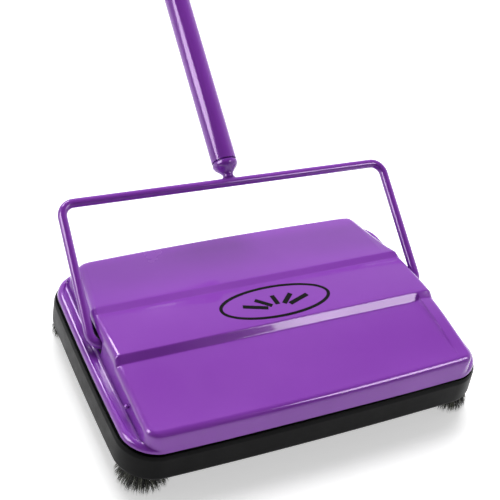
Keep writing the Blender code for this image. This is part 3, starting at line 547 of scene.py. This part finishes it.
def spaced(stops):
    """Positions from (start, step) stops to the last stop's start, evenly inside each run."""
    out = []
    for (start, step), (end, _) in zip(stops, stops[1:]):
        count = max(1, round((end - start) / step))
        out += [start + (end - start) * i / count for i in range(count)]
    return out + [stops[-1][0]]


# ---- looks

PAINT = paint("purple_enamel")
PAINT_TUBE = paint("purple_enamel_tube", (6, 0.8, 0.8))
RUBBER = rubber("bumper_rubber")
INK = rubber("decal_ink")
TYRE = rubber("tyre_rubber", (0.02, 0.02, 0.021), (0.05, 0.049, 0.046))
STEEL_X = plated("plated_steel", (0.08, 1, 1))
STEEL_WIRE = plated("plated_wire", (1, 1, 1), (0.7, 0.69, 0.66))
BLACK = moulded("black_plastic", (0.016, 0.016, 0.018))
WHITE = moulded("nylon", (0.66, 0.65, 0.6), 1200, (0.3, 0.45))
SHEET = black_sheet("black_enamel")
HAIR = bristle("corner_hair", (0.007, 0.0072, 0.006), (0.28, 0.29, 0.22))
ROTOR_HAIR = bristle("rotor_hair", (0.012, 0.011, 0.01), (0.11, 0.1, 0.085))
WOOD = timber("beech")


# ---- head

def cover():
    """The pressed steel cover: a height field with a sheet's thickness, slots and rivet holes."""
    half_x, half_y = COVER_HALF_X, COVER_HALF_Y
    right = spaced([(0.0, 0.004), (0.1148, 0.0003), (0.117, 0.0007), (0.1245, 0.00032),
                    (0.1312, 0.00032), (0.135, 0.0003), (half_x, 1)])
    lines_x = [-v for v in reversed(right[1:])] + right
    edge = spaced([(0.0, 0.00035), (0.0085, 0.0012), (0.0165, 1)])
    inner = spaced([(-half_y + 0.0165, 0.003), (-0.028, 0.0003), (-0.0202, 0.0022),
                    (0.0225, 0.0004), (0.0315, 0.003), (half_y - 0.0165, 1)])
    lines_y = [-half_y + v for v in edge[:-1]] + inner + [half_y - v for v in reversed(edge[:-1])]
    verts = []
    for y in lines_y:
        row = [rounded_plan(x, y, half_x, half_y, COVER_RADIUS) for x in lines_x]
        verts += [(a, b, cover_height(a, b)) for a, b in row]
    mesh = bpy.data.meshes.new("cover")
    mesh.from_pydata(verts, [], quads(len(lines_y), len(lines_x), False, False))
    mesh.transform(HEAD)
    obj = linked("cover", mesh)
    shell = obj.modifiers.new("sheet", "SOLIDIFY")
    shell.thickness = COVER_SHEET
    shell.offset = -1
    cutters = []
    for side, name in SIDES:
        foot = Matrix.Rotation(BAIL_SKEW, 3, "Z") @ Vector((side * SIDE_WALL_X, 0, 0))
        low_y = foot.y + PIVOT.y - HEAD_Y + SLOT_OFFSET[0] - SLOT_SIZE[0] / 2
        low_z = PIVOT.z + SLOT_OFFSET[1] - SLOT_SIZE[1] / 2
        high_y, high_z = low_y + SLOT_SIZE[0], low_z + SLOT_SIZE[1]
        outline = rounded([(low_y, low_z), (high_y, low_z), (high_y, high_z), (low_y, high_z)],
                          0.003, 6, True)
        cutters.append(prism(outline, foot.x - 0.006, foot.x + 0.006))
        for end in (-1, 1):
            hole = lathe([(0, -0.004), (0.0013, -0.004), (0.0013, 0.004), (0, 0.004)], 24)
            cutters.append(placed(hole, rivet_matrix(side, end)))
    cut = piece("cover_cutter", *joined(cutters), PAINT, "head", matrix=HEAD)
    boolean = obj.modifiers.new("openings", "BOOLEAN")
    boolean.object, boolean.operation, boolean.solver = cut, "DIFFERENCE", "EXACT"
    evaluated = obj.evaluated_get(bpy.context.evaluated_depsgraph_get())
    done = bpy.data.meshes.new_from_object(evaluated)
    obj.modifiers.clear()
    obj.data = done
    bpy.data.objects.remove(cut)
    done.shade_smooth()
    done.set_sharp_from_angle(angle=math.radians(50))
    done.materials.clear()
    done.materials.append(PAINT)
    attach(obj, "head")
    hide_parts("top_cover")


def decal():
    """A generic mark printed on the mid band: an oval ring around a fan of five bars."""
    ring = [DECAL_MIDDLE + Vector((DECAL_RING[0] * c, DECAL_RING[1] * s)) for c, s in circle(120)]
    strokes = [(ring, RING_STROKE, True)]
    start = DECAL_MIDDLE + Vector((0, -0.0095))
    for lean in (-0.9, -0.45, 0.0, 0.45, 0.9):
        way = Vector((2.1 * math.sin(lean), math.cos(lean)))
        bar = [start + way * (0.0055 + 0.0009 * i) for i in range(13)]
        strokes.append((bar, BAR_STROKE, False))
    prints = []
    for points, half, loop in strokes:
        count, verts = len(points), []
        for i, point in enumerate(points):
            before = points[i - 1] if loop or i else point
            after = points[(i + 1) % count] if loop or i < count - 1 else point
            across = (after - before).normalized().orthogonal() * half
            for place, lift in ((point - across, INK_TOP), (point + across, INK_TOP),
                                (point + across, INK_FOOT), (point - across, INK_FOOT)):
                verts.append((place.x, place.y, cover_height(place.x, place.y) + lift))
        faces = quads(count, 4, loop)
        if not loop:
            faces += [(3, 2, 1, 0), tuple(4 * (count - 1) + k for k in range(4))]
        prints.append((verts, faces))
    piece("band_decal", *joined(prints), INK, "head", (), "black_plastic", HEAD, 30)


def rivet_matrix(side, end):
    return (Matrix.Translation((side * (SIDE_WALL_X - 0.0011 * (end + 1)), end * 0.055, 0.0505))
            @ along_x(side))


def rivets():
    profile = [(0.0, 0.003), (0.0011, 0.0028), (0.0018, 0.0021), (0.0021, 0.0013),
               (0.0009, 0.0013), (0.0009, -0.003), (0.0, -0.003)]
    for side, end, name in CORNERS:
        turned(f"rivet_{name}", profile, PAINT, "head", f"cover_rivet_{name}", "steel",
               HEAD @ rivet_matrix(side, end), 24, 0.0002, False)


def bumper():
    """A moulded band: drafted face, bevelled top, groove under the cover's rim, rounded foot."""
    height = BUMPER_TOP - BUMPER_FOOT
    section = [(0.0022, 0.0), (0.0007, 0.001), (0.0, 0.003), (0.0008, height - 0.0042),
               (0.0019, height - 0.0014), (0.0023, height - 0.0014), (0.0027, height - 0.004),
               (0.0046, height - 0.004), (0.0049, height), (BUMPER_THICKNESS, height),
               (BUMPER_THICKNESS, 0.0)]
    section = rounded(section, 0.0006, 4, True)
    outlines = [plan_outline(inset) for inset, _ in section]
    verts = [(p.x, p.y, BUMPER_FOOT + above)
             for places in zip(*outlines) for p, (_, above) in zip(places, section)]
    faces = quads(len(outlines[0]), len(section), True)
    piece("bumper_band", verts, faces, RUBBER, "head", "bumper", "black_rubber", HEAD)


def base():
    """The tray keeps its CAD shape and gets four pressed ribs, two in front and two behind."""
    dress(frame["nodes"]["base_frame"], SHEET, 0.0004)
    for end, where in ENDS:
        for side, name in SIDES:
            rib = rounded([(-0.0018, 0.0), (0.0018, 0.0), (0.001, -0.0016), (-0.001, -0.0016)],
                          0.0006, 3, True)
            shape = prism(rib, -0.042, 0.042, 0.0006)
            piece(f"base_rib_{where}_{name}", *shape, SHEET, "head", (), "black_plastic",
                  HEAD @ Matrix.Translation((side * 0.055, end * 0.0838, BASE_BOTTOM + 0.0001)))


def dress(obj, material, width=0.0003):
    """A CAD node keeps its shape and gets eased edges and its own material."""
    obj.data.materials.clear()
    obj.data.materials.append(material)
    obj.data.shade_smooth()
    obj.data.set_sharp_from_angle(angle=math.radians(30))
    ease = obj.modifiers.new("ease", "BEVEL")
    ease.width, ease.segments = width, 2
    ease.limit_method, ease.angle_limit = "ANGLE", math.radians(40)


def along_x(side):
    return Matrix.Rotation(side * math.pi / 2, 4, "Y")


def running_gear():
    """Four wheels: a dished hub with six spokes, a grooved tyre and its stub in the end plate."""
    half = WHEEL_WIDTH / 2
    for side, _, name in CORNERS:
        place = Matrix.Translation(JOINTS[f"wheel_{name}_spin"]["pos_m"]) @ along_x(side)
        body = f"wheel_{name}"
        hub = [(HUB_RADIUS, half), (HUB_RADIUS, -half), (0.0133, -half), (0.0122, -0.001),
               (0.0062, -0.001), (0.0057, -half), (0.0031, -half), (0.0031, half),
               (0.0055, half), (0.0062, 0.0005), (0.012, 0.0005), (0.013, half)]
        spoke = rounded([(0.005, -0.0006), (0.0131, -0.0006), (0.0131, 0.0006),
                         (0.005, 0.0006)], 0.0003, 2, True)
        spoke = prism(spoke, 0.0002, 0.0038, 0.0003, "Z")
        parts = [lathe(rounded(hub, 0.0004, 3, True), 72)]
        parts += [placed(spoke, Matrix.Rotation(math.radians(60 * k), 4, "Z"))
                  for k in range(6)]
        piece(f"hub_{name}", *joined(parts), BLACK, body, f"wheel_hub_{name}", "black_plastic",
              place)
        tread = [(0.0158, -half), (0.0158, half), (0.0176, half), (TYRE_RADIUS, half - 0.001)]
        for z in (0.0019, 0.0, -0.0019):
            tread += [(TYRE_RADIUS, z + 0.0006), (TYRE_RADIUS - 0.0007, z + 0.0004),
                      (TYRE_RADIUS - 0.0007, z - 0.0004), (TYRE_RADIUS, z - 0.0006)]
        tread += [(TYRE_RADIUS, 0.001 - half), (0.0176, -half)]
        turned(f"tyre_{name}", tread, TYRE, body, f"wheel_tyre_{name}", "black_rubber", place,
               96, 0.0002)
        stub = [(0.0, 0.012), (0.0045, 0.012), (0.0045, 0.0105), (STUB_RADIUS, 0.0105),
                (STUB_RADIUS, -0.0052), (0.0045, -0.0052), (0.0045, -0.0065), (0.0, -0.0065)]
        turned(f"stub_{name}", stub, STEEL_X, "head", f"wheel_stub_{name}", "steel", place, 40,
               0.0004, False)


def rod_profile(half, radius):
    return [(0.0, half), (radius, half), (radius, -half), (0.0, -half)]


def rotor():
    """Steel axle, beech core, a grooved drive ring at each end and the bristles."""
    axis = HEAD @ Matrix.Translation((0, 0, ROTOR_Z)) @ along_x(1)
    turned("axle", rod_profile(AXLE_HALF, AXLE_RADIUS), STEEL_X, "rotor", "rotor_axle", "steel",
           axis, 40, 0.0006, False)
    bore = AXLE_RADIUS + TOUCH_GAP
    core = [(ROTOR_CORE_RADIUS, ROTOR_CORE_HALF), (ROTOR_CORE_RADIUS, -ROTOR_CORE_HALF),
            (bore, -ROTOR_CORE_HALF), (bore, ROTOR_CORE_HALF)]
    turned("core", core, WOOD, "rotor", "rotor_core", "wood", axis, 56, 0.0007)
    for side, name in SIDES:
        low = side * 0.105 - WHEEL_WIDTH / 2
        ring = [(0.0093, low + WHEEL_WIDTH), (RING_RADIUS, low + WHEEL_WIDTH)]
        for k in range(5):
            z = low + WHEEL_WIDTH * (0.9 - 0.2 * k)
            ring += [(RING_RADIUS, z + 0.0004), (RING_RADIUS - 0.0004, z),
                     (RING_RADIUS, z - 0.0004)]
        ring += [(RING_RADIUS, low), (0.0093, low)]
        turned(f"ring_{name}", ring, TYRE, "rotor", f"drive_ring_{name}", "black_rubber", axis, 64,
               0.0002)
    rotor_rows(axis)


def rotor_rows(axis):
    """Four helical rows of tufts, each tuft a pinch of fibres that opens towards its tip."""
    rng = np.random.default_rng(11)
    k = np.arange(TUFTS_PER_ROW)
    z = ROTOR_HALF_LENGTH * (2 * (k + 0.5) / TUFTS_PER_ROW - 1) * 0.985
    z = np.tile(z, TUFT_ROWS)
    angle = ROW_TWIST * z / (2 * ROTOR_HALF_LENGTH)
    angle = angle + np.repeat(2 * math.pi * np.arange(TUFT_ROWS) / TUFT_ROWS, TUFTS_PER_ROW)
    z, angle = np.repeat(z, HAIRS_PER_TUFT), np.repeat(angle, HAIRS_PER_TUFT)
    count = len(z)
    spread = np.sqrt(rng.random(count))
    way = rng.random(count) * 2 * math.pi
    off_z, off_a = spread * np.cos(way), spread * np.sin(way)
    length = ROTOR_TIP_RADIUS - rng.random(count) ** 2 * 0.0014 - 0.0001
    root_a = angle + off_a * 0.0011 / ROTOR_CORE_RADIUS
    tip_a = angle + off_a * 0.003 / length
    root_z, tip_z = z + off_z * 0.0011, z + off_z * 0.0026
    tip_z = np.clip(tip_z, -ROTOR_HALF_LENGTH, ROTOR_HALF_LENGTH)
    roots = around(ROTOR_CORE_RADIUS - 0.0006, root_a, root_z)
    tips = around(length, tip_a, tip_z)
    bends = rng.normal(0, 0.00035, (count, 3))
    verts, faces, per = fibres(roots, tips, bends, rng.uniform(0.00017, 0.00026, count), 3)
    tones = np.repeat(np.clip(rng.random(count) ** 2.2, 0, 1), per)
    piece("rotor_tufts", verts, faces, ROTOR_HAIR, "rotor", "rotor_bristles", "bristle", axis, 180,
          tones)


def corner_matrix(name):
    joint = JOINTS[f"corner_{name}_spin"]
    axis = Vector(joint["axis"]).normalized()
    across = Vector((0, 0, 1)).cross(axis).normalized()
    turn = Matrix((across, axis.cross(across), axis)).transposed().to_4x4()
    return Matrix.Translation(joint["pos_m"]) @ turn


def corner_brushes():
    """Four tilted crowns of loose hair on a hub, each turning on a headed pin."""
    for index, (_, _, name) in enumerate(CORNERS):
        place, body = corner_matrix(name), f"corner_{name}"
        hub = [(0.0021, 0.009), (0.0045, 0.009), (0.0072, 0.007), (0.0072, 0.0024),
               (0.009, 0.0016), (0.009, 0.0003), (0.0021, 0.0003)]
        turned(f"corner_hub_piece_{name}", hub, BLACK, body, f"corner_hub_{name}",
               "black_plastic", place, 48, 0.0005)
        rng = np.random.default_rng(100 + index)
        count = CORNER_HAIRS
        angle = rng.random(count) * 2 * math.pi
        layer = rng.random(count)
        root_r = 0.005 + 0.0034 * layer
        reach = 0.0128 + 0.008 * layer ** 0.8 + rng.normal(0, 0.0006, count)
        reach = np.minimum(reach, CROWN_RADIUS)
        drop = -CROWN_HEIGHT + 0.0003 + rng.random(count) ** 2 * 0.0026
        drop += 0.0012 * (1 - layer)
        sway = rng.normal(0, 0.1, count)
        roots = around(root_r, angle, 0.0006)
        tips = around(reach, angle + sway, drop)
        bow = 0.0011 + 0.0006 * rng.random(count)
        bends = around(bow, angle, bow * 0.7) + rng.normal(0, 0.0003, (count, 3))
        verts, faces, per = fibres(roots, tips, bends, rng.uniform(0.00016, 0.0003, count), 4)
        pale = np.where(rng.random(count) < 0.2, rng.uniform(0.35, 1.0, count),
                        rng.uniform(0.0, 0.03, count))
        tones = np.repeat(pale, per)
        piece(f"corner_tuft_{name}", verts, faces, HAIR, body, f"corner_bristles_{name}",
              "bristle", place, 180, tones)
        plate = (BASE_BOTTOM - place.translation.z) / math.cos(CORNER_TILT)
        over = plate + BASE_SHEET + 0.0012
        pin = [(0.0, over + 0.0012), (0.0034, over + 0.001), (0.0034, over), (0.002, over),
               (0.002, -0.0002), (0.0034, -0.0002), (0.0034, -0.0018), (0.0, -0.0018)]
        turned(f"pin_{name}", pin, STEEL_X, "head", f"corner_pin_{name}", "steel", place, 32,
               0.0004, False)


def coil(radius, turns, length):
    """Points of a helix along local Z."""
    steps_per_turn = 28
    count = int(turns * steps_per_turn)
    step = 2 * math.pi / steps_per_turn
    return [(radius * math.cos(i * step), radius * math.sin(i * step), length * i / count)
            for i in range(count + 1)]


def small_steel():
    """Bearings, bushes, springs and rods."""
    for side, name in SIDES:
        place = HEAD @ Matrix.Translation((side * END_PLATE_X, 0, ROTOR_Z)) @ along_x(-side)
        bearing = [(0.007, 0.0018), (0.007, 0.0006), (0.005, 0.0006), (0.005, -0.0018),
                   (0.0026, -0.0018), (0.0026, 0.0018)]
        turned(f"bearing_{name}", bearing, WHITE, "head", f"rotor_bearing_{name}",
               "white_plastic", place, 48, 0.0003)
        place = BAIL_AXIS @ Matrix.Translation((side * END_PLATE_X, 0, 0)) @ along_x(side)
        bush = [(0.0072, 0.0033), (0.0072, 0.002), (0.0052, 0.002), (0.0052, -0.0015),
                (0.0036, -0.0015), (0.0036, 0.0033)]
        turned(f"bush_{name}", bush, WHITE, "head", f"bail_bush_{name}", "white_plastic", place,
               48, 0.0003)
        place = BAIL_AXIS @ Matrix.Translation((side * (END_PLATE_X + 0.0045), 0, 0))
        spring = rod(coil(0.0049, 4.5, 0.0085), 0.0007, 12, 0.0003)
        piece(f"coil_{name}", *spring, STEEL_WIRE, "head", f"friction_spring_{name}", "steel",
              place @ along_x(side))
        dress(frame["nodes"][f"end_plate_{name}"], STEEL_X)
    for end, where in ENDS:
        hinge = Matrix.Translation(JOINTS[f"pan_{where}_hinge"]["pos_m"])
        if end > 0:
            hinge = hinge @ Matrix.Rotation(math.pi, 4, "Z")
        half = END_PLATE_X + END_PLATE_SHEET + 0.001
        turned(f"rod_{where}", rod_profile(half, 0.002), STEEL_X, "head", f"pan_rod_{where}",
               "steel", hinge @ along_x(1), 32, 0.0005, False)
        place = hinge @ Matrix.Translation((0.0985, 0, 0)) @ along_x(1)
        piece(f"pan_coil_{where}", *rod(coil(0.003, 4, 0.008), 0.0005, 10, 0.0002), STEEL_WIRE,
              "head", f"pan_spring_{where}", "steel", place)


def pans():
    """Pressed troughs: a rolled barrel on the rod, floor ribs, closed ends and an eased lip."""
    y, z = -PAN_HINGE_Y, PAN_HINGE_Z
    inner = [Vector(p) for p in (
        (y - 0.0003, z - 0.0022), (y + 0.006, 0.0085), (y + 0.0095, 0.0052),
        (-0.0405, 0.0042), (-0.037, 0.006), (-0.0308, 0.0232))]
    outer = []
    for before, p, after in zip(inner[:1] + inner, inner, inner[1:] + inner[-1:]):
        along = (after - before).normalized()
        outer.append(p + Vector((along.y, -along.x)) * PAN_SHEET)
    wall = rounded(inner, 0.0016, 4) + rounded(outer, 0.002, 4)[::-1]
    end_outline = rounded([*outer, (-0.0312, 0.024), (y + 0.0012, z - 0.0018)], 0.0012, 3, True)
    half = PAN_HALF_LENGTH - 0.0005
    barrel = lathe(rounded([(0.0034, half), (0.0034, -half), (0.0021, -half), (0.0021, half)],
                           0.0003, 2, True), 40)
    rib = rounded([(-0.064, 0.0046), (-0.042, 0.0038), (-0.042, 0.0052), (-0.064, 0.006)],
                  0.0005, 3, True)
    for end, where in ENDS:
        flip = Matrix.Rotation(math.pi, 4, "Z") if end > 0 else Matrix.Identity(4)
        parts = [prism(wall, -PAN_HALF_LENGTH, PAN_HALF_LENGTH, 0.0002)]
        for side in (-1, 1):
            low = side * (PAN_HALF_LENGTH - 0.0008) - 0.0008
            parts.append(prism(end_outline, low, low + 0.0016, 0.0004))
        parts.append(placed(barrel, Matrix.Translation((0, y, z)) @ along_x(1)))
        parts += [prism(rib, k * 0.02 - 0.0012, k * 0.02 + 0.0012, 0.0005)
                  for k in range(-4, 5)]
        piece(f"pan_{where}_trough", *joined(parts), SHEET, f"pan_{where}", f"dust_pan_{where}",
              "black_plastic", HEAD @ flip)


# ---- bail and handle

def bail():
    """One bent rod: two feet on the swing axis, two risers and the cross bar."""
    points = [(-FOOT_END_X, 0, 0)]
    corner_x, top = BAIL_HALF_WIDTH - BAIL_BEND, BAIL_LENGTH - BAIL_BEND
    arcs = [(-corner_x, BAIL_BEND, 270, 180), (-corner_x, top, 180, 90), (corner_x, top, 90, 0),
            (corner_x, BAIL_BEND, 0, -90)]
    for cx, cz, start, end in arcs:
        for step in range(17):
            angle = math.radians(start + (end - start) * step / 16)
            points.append((cx + BAIL_BEND * math.cos(angle), 0, cz + BAIL_BEND * math.sin(angle)))
    points.append((FOOT_END_X, 0, 0))
    dense = [points[0]]
    for a, b in zip(points, points[1:]):
        a, b = Vector(a), Vector(b)
        count = max(1, round((b - a).length / 0.02))
        dense += [a.lerp(b, (i + 1) / count) for i in range(count)]
    piece("bail_rod", *rod(dense, ROD_RADIUS, 40, 0.0008), PAINT, "handle", "bail",
          "purple_paint", BAIL_SWING, 50)


def ferrule():
    """A turned cone and neck whose foot is saddled over the bar and welded."""
    profile = [(0.0, 0.045), (0.0075, 0.045), (0.0088, 0.044),
               (0.0088, FERRULE_LENGTH - 0.0009), (0.0096, FERRULE_LENGTH - 0.0009),
               (0.01, FERRULE_LENGTH - 0.0013), (0.01, 0.0138), (0.0088, 0.0118),
               (0.005, 0.008), (0.0042, 0.0064),
               (0.0042, ROD_RADIUS + TOUCH_GAP), (0.0, ROD_RADIUS + TOUCH_GAP)]
    turned("ferrule_cone", profile, PAINT, "handle", "handle_ferrule", "purple_paint", HANDLE, 64,
           0.0008, False)
    verts, faces = lathe(rounded([(0.0, 0.0056), (0.0044, 0.0053), (0.005, 0.0036),
                                  (0.0056, 0.002), (0.0, 0.002)], 0.0009, 4), 64, False)
    saddle = []
    for v in verts:
        v = Vector(v)
        depth = math.sqrt(max(0.0, (ROD_RADIUS - 0.0002) ** 2 - min(v.y * v.y, 0.0000121)))
        saddle.append((v.x, v.y * 0.62, max(v.z, 0.0) - (0.002 - depth) * (v.z < 0.0035)))
    piece("ferrule_weld", saddle, faces, PAINT, "handle", (), "purple_paint", HANDLE, 60)


def tubes():
    """Three painted tubes end to end; the couplers inside them keep their CAD shape."""
    low = FERRULE_LENGTH + TOUCH_GAP
    for name in ("lower", "middle", "upper"):
        high = low + TUBE_LENGTH
        profile = [(TUBE_RADIUS, high), (TUBE_RADIUS, low), (TUBE_BORE, low), (TUBE_BORE, high)]
        turned(f"tube_{name}", profile, PAINT_TUBE, "handle", f"handle_tube_{name}",
               "purple_tube", HANDLE, 80, 0.00025)
        low = high + TOUCH_GAP
    for name in ("lower", "middle"):
        dress(frame["nodes"][f"handle_coupler_{name}"], STEEL_X)


def grip():
    """A moulded sleeve with finger rings, and a flat hanging eye at its end."""
    low, bore, sleeve_top = HANDLE_TOP - GRIP_LENGTH, TUBE_RADIUS + TOUCH_GAP, HANDLE_TOP - 0.026
    profile = [(0.0, sleeve_top + 0.004), (0.008, sleeve_top + 0.003),
               (GRIP_RADIUS - 0.001, sleeve_top), (GRIP_RADIUS, sleeve_top - 0.005)]
    z = sleeve_top - 0.01
    while z > low + 0.012:
        profile += [(GRIP_RADIUS, z), (GRIP_RADIUS - 0.0007, z - 0.001),
                    (GRIP_RADIUS - 0.0007, z - 0.0022), (GRIP_RADIUS, z - 0.0032)]
        z -= 0.0062
    profile += [(GRIP_RADIUS, low + 0.004), (GRIP_RADIUS - 0.001, low), (bore, low),
                (bore, HANDLE_TOP - 0.037), (0.0, HANDLE_TOP - 0.037)]
    parts = [lathe(rounded(profile, 0.0006, 3), 72, False)]
    centre = HANDLE_TOP - 0.012
    angles = [math.radians(-40 + 260 * k / 40) for k in range(41)]
    outer = [(0.012 * math.cos(a), centre + 0.012 * math.sin(a)) for a in angles]
    outer += [(-0.01, centre - 0.017), (0.01, centre - 0.017)]
    parts.append(plate_with_hole(outer, (0.0, centre), 0.006, 0.004, 0.0012))
    piece("grip_sleeve", *joined(parts), BLACK, "handle", "hand_grip", "black_plastic", HANDLE)


def plate_with_hole(outline, centre, radius, half, ease):
    """A plate across X with one round hole and eased rims; the outline is in Y and Z."""
    centre = Vector(centre)
    outline = rounded(outline, 0.003, 4, True)
    directions = [Vector(way) for way in circle(64)]
    edge = []
    for d in directions:
        best = 0.0
        for a, b in zip(outline, outline[1:] + outline[:1]):
            e, w = b - a, a - centre
            det = d.x * e.y - d.y * e.x
            if abs(det) < 1e-12:
                continue
            t = (w.x * e.y - w.y * e.x) / det
            s = (w.x * d.y - w.y * d.x) / det
            if 0 <= s <= 1 and t > best:
                best = t
        edge.append(best)
    section = [(0.0, half - ease), (0.3 * ease, half - 0.3 * ease), (ease, half)]
    verts = []
    for outer, side, order in ((True, 1, section), (False, 1, section[::-1]),
                               (False, -1, section), (True, -1, section[::-1])):
        for inset, x in order:
            for d, far in zip(directions, edge):
                p = centre + d * (far - inset if outer else radius + inset)
                verts.append((side * x, p.x, p.y))
    return verts, quads(4 * len(section), len(directions), True)


# ---- room

def room():
    """A white floor that glows a little, as an overexposed sweep does."""
    floor = bpy.data.meshes.new("floor")
    corners = ((-1, -1), (1, -1), (1, 1), (-1, 1))
    floor.from_pydata([(x * FLOOR_HALF, y * FLOOR_HALF, 0.0) for x, y in corners], [],
                      [(0, 1, 2, 3)])
    s = Shader("floor_white", (0.95, 0.95, 0.95), 0.7, Specular_IOR_Level=0.2,
               Emission_Color=(1, 1, 1, 1), Emission_Strength=FLOOR_GLOW)
    s.colored(s.noise(3, 3), 0.3, 0.7, (0.88, 0.88, 0.885), (0.9, 0.9, 0.9))
    floor.materials.append(s.material)
    obj = linked("floor", floor)


def backdrop():
    """A white cyclorama, dim overhead and dark only behind the photographer."""
    world = bpy.data.worlds.new("studio")
    bpy.context.scene.world = world
    world.use_nodes = True
    tree = world.node_tree
    background = tree.nodes["Background"]
    background.inputs["Color"].default_value = (1, 1, 1, 1)

    way = add_node(tree, "ShaderNodeTexCoord").outputs["Generated"]
    up = add_node(tree, "ShaderNodeSeparateXYZ", {0: way}).outputs[2]
    facing = add_node(tree, "ShaderNodeVectorMath", {0: way, 1: direction(-25, 42)},
                      operation="DOT_PRODUCT").outputs["Value"]
    dark = mapped(tree, facing, 0.35, 0.75, 1.0, DARK_GLOW, "SMOOTHSTEP")
    wall = mapped(tree, up, 0.36, 0.8, WALL_GLOW, WALL_GLOW * 0.25, "SMOOTHSTEP")
    strength = add_node(tree, "ShaderNodeMath", {0: dark, 1: wall}, operation="MULTIPLY")
    tree.links.new(strength.outputs[0], background.inputs["Strength"])


def direction(azimuth, elevation):
    """From the head towards the room; azimuth 0 is in front, 90 on the head's right."""
    azimuth, elevation = math.radians(azimuth), math.radians(elevation)
    return Vector((math.sin(azimuth) * math.cos(elevation),
                   -math.cos(azimuth) * math.cos(elevation), math.sin(elevation)))


def softbox(name, azimuth, elevation, distance, size, radiance, roll=0.0):
    """A lamp panel that faces the head from that direction."""
    way = direction(azimuth, elevation)
    light = bpy.data.lights.new(name, "AREA")
    light.shape = "RECTANGLE"
    light.size, light.size_y = size
    light.energy = radiance * math.pi * size[0] * size[1]
    obj = linked(name, light)
    obj.location = Vector((0, HEAD_Y, 0.06)) + way * distance
    turned_by = Matrix.Rotation(math.radians(roll), 3, "Z").to_quaternion()
    obj.rotation_euler = (way.to_track_quat("Z", "Y") @ turned_by).to_euler()
    obj.visible_camera = False
    return obj


def lights():
    """The key lights the paint's own colour; the small lamps only put highlights in the gloss."""
    # name, azimuth, elevation, distance, size, radiance and roll
    softbox("key", 162, 58, 4.4, (3.2, 2.6), 8.6).visible_glossy = False
    for name, *where in (("front_right", 46, 40, 1.0, (0.42, 0.28), 13.0),
                         ("left_strip", -102, 33, 1.1, (0.47, 0.72), 12.0),
                         ("left_rear", -159, 43, 1.2, (0.54, 0.24), 17.0, -22)):
        softbox(name, *where).visible_diffuse = False


def camera():
    """The product shot's own viewpoint, from its perspective."""
    azimuth, roll = math.radians(CAMERA_AZIMUTH), math.radians(CAMERA_ROLL)
    back = direction(CAMERA_AZIMUTH, CAMERA_ELEVATION)
    across = Vector((math.cos(azimuth), math.sin(azimuth), 0))
    up = back.cross(across)
    right = across * math.cos(roll) + up * math.sin(roll)
    above = up * math.cos(roll) - across * math.sin(roll)
    place = (Vector((0, HEAD_Y, BUMPER_FOOT)) + CAMERA_RIGHT * right + CAMERA_UP * above
             + CAMERA_BACK * back)
    data = bpy.data.cameras.new("camera")
    data.sensor_width = SENSOR_MM
    data.lens = FOCAL_PIXELS * SENSOR_MM / PHOTO_PIXELS
    data.clip_start, data.clip_end = 0.02, 50
    obj = linked("camera", data)
    turn = Matrix((right, above, back)).transposed().to_4x4()
    obj.matrix_world = Matrix.Translation(place) @ turn
    bpy.context.scene.camera = obj


cover()
decal()
rivets()
bumper()
base()
running_gear()
rotor()
corner_brushes()
small_steel()
pans()
bail()
ferrule()
tubes()
grip()
room()
backdrop()
lights()
camera()
bpy.context.scene.view_settings.view_transform = "Standard"
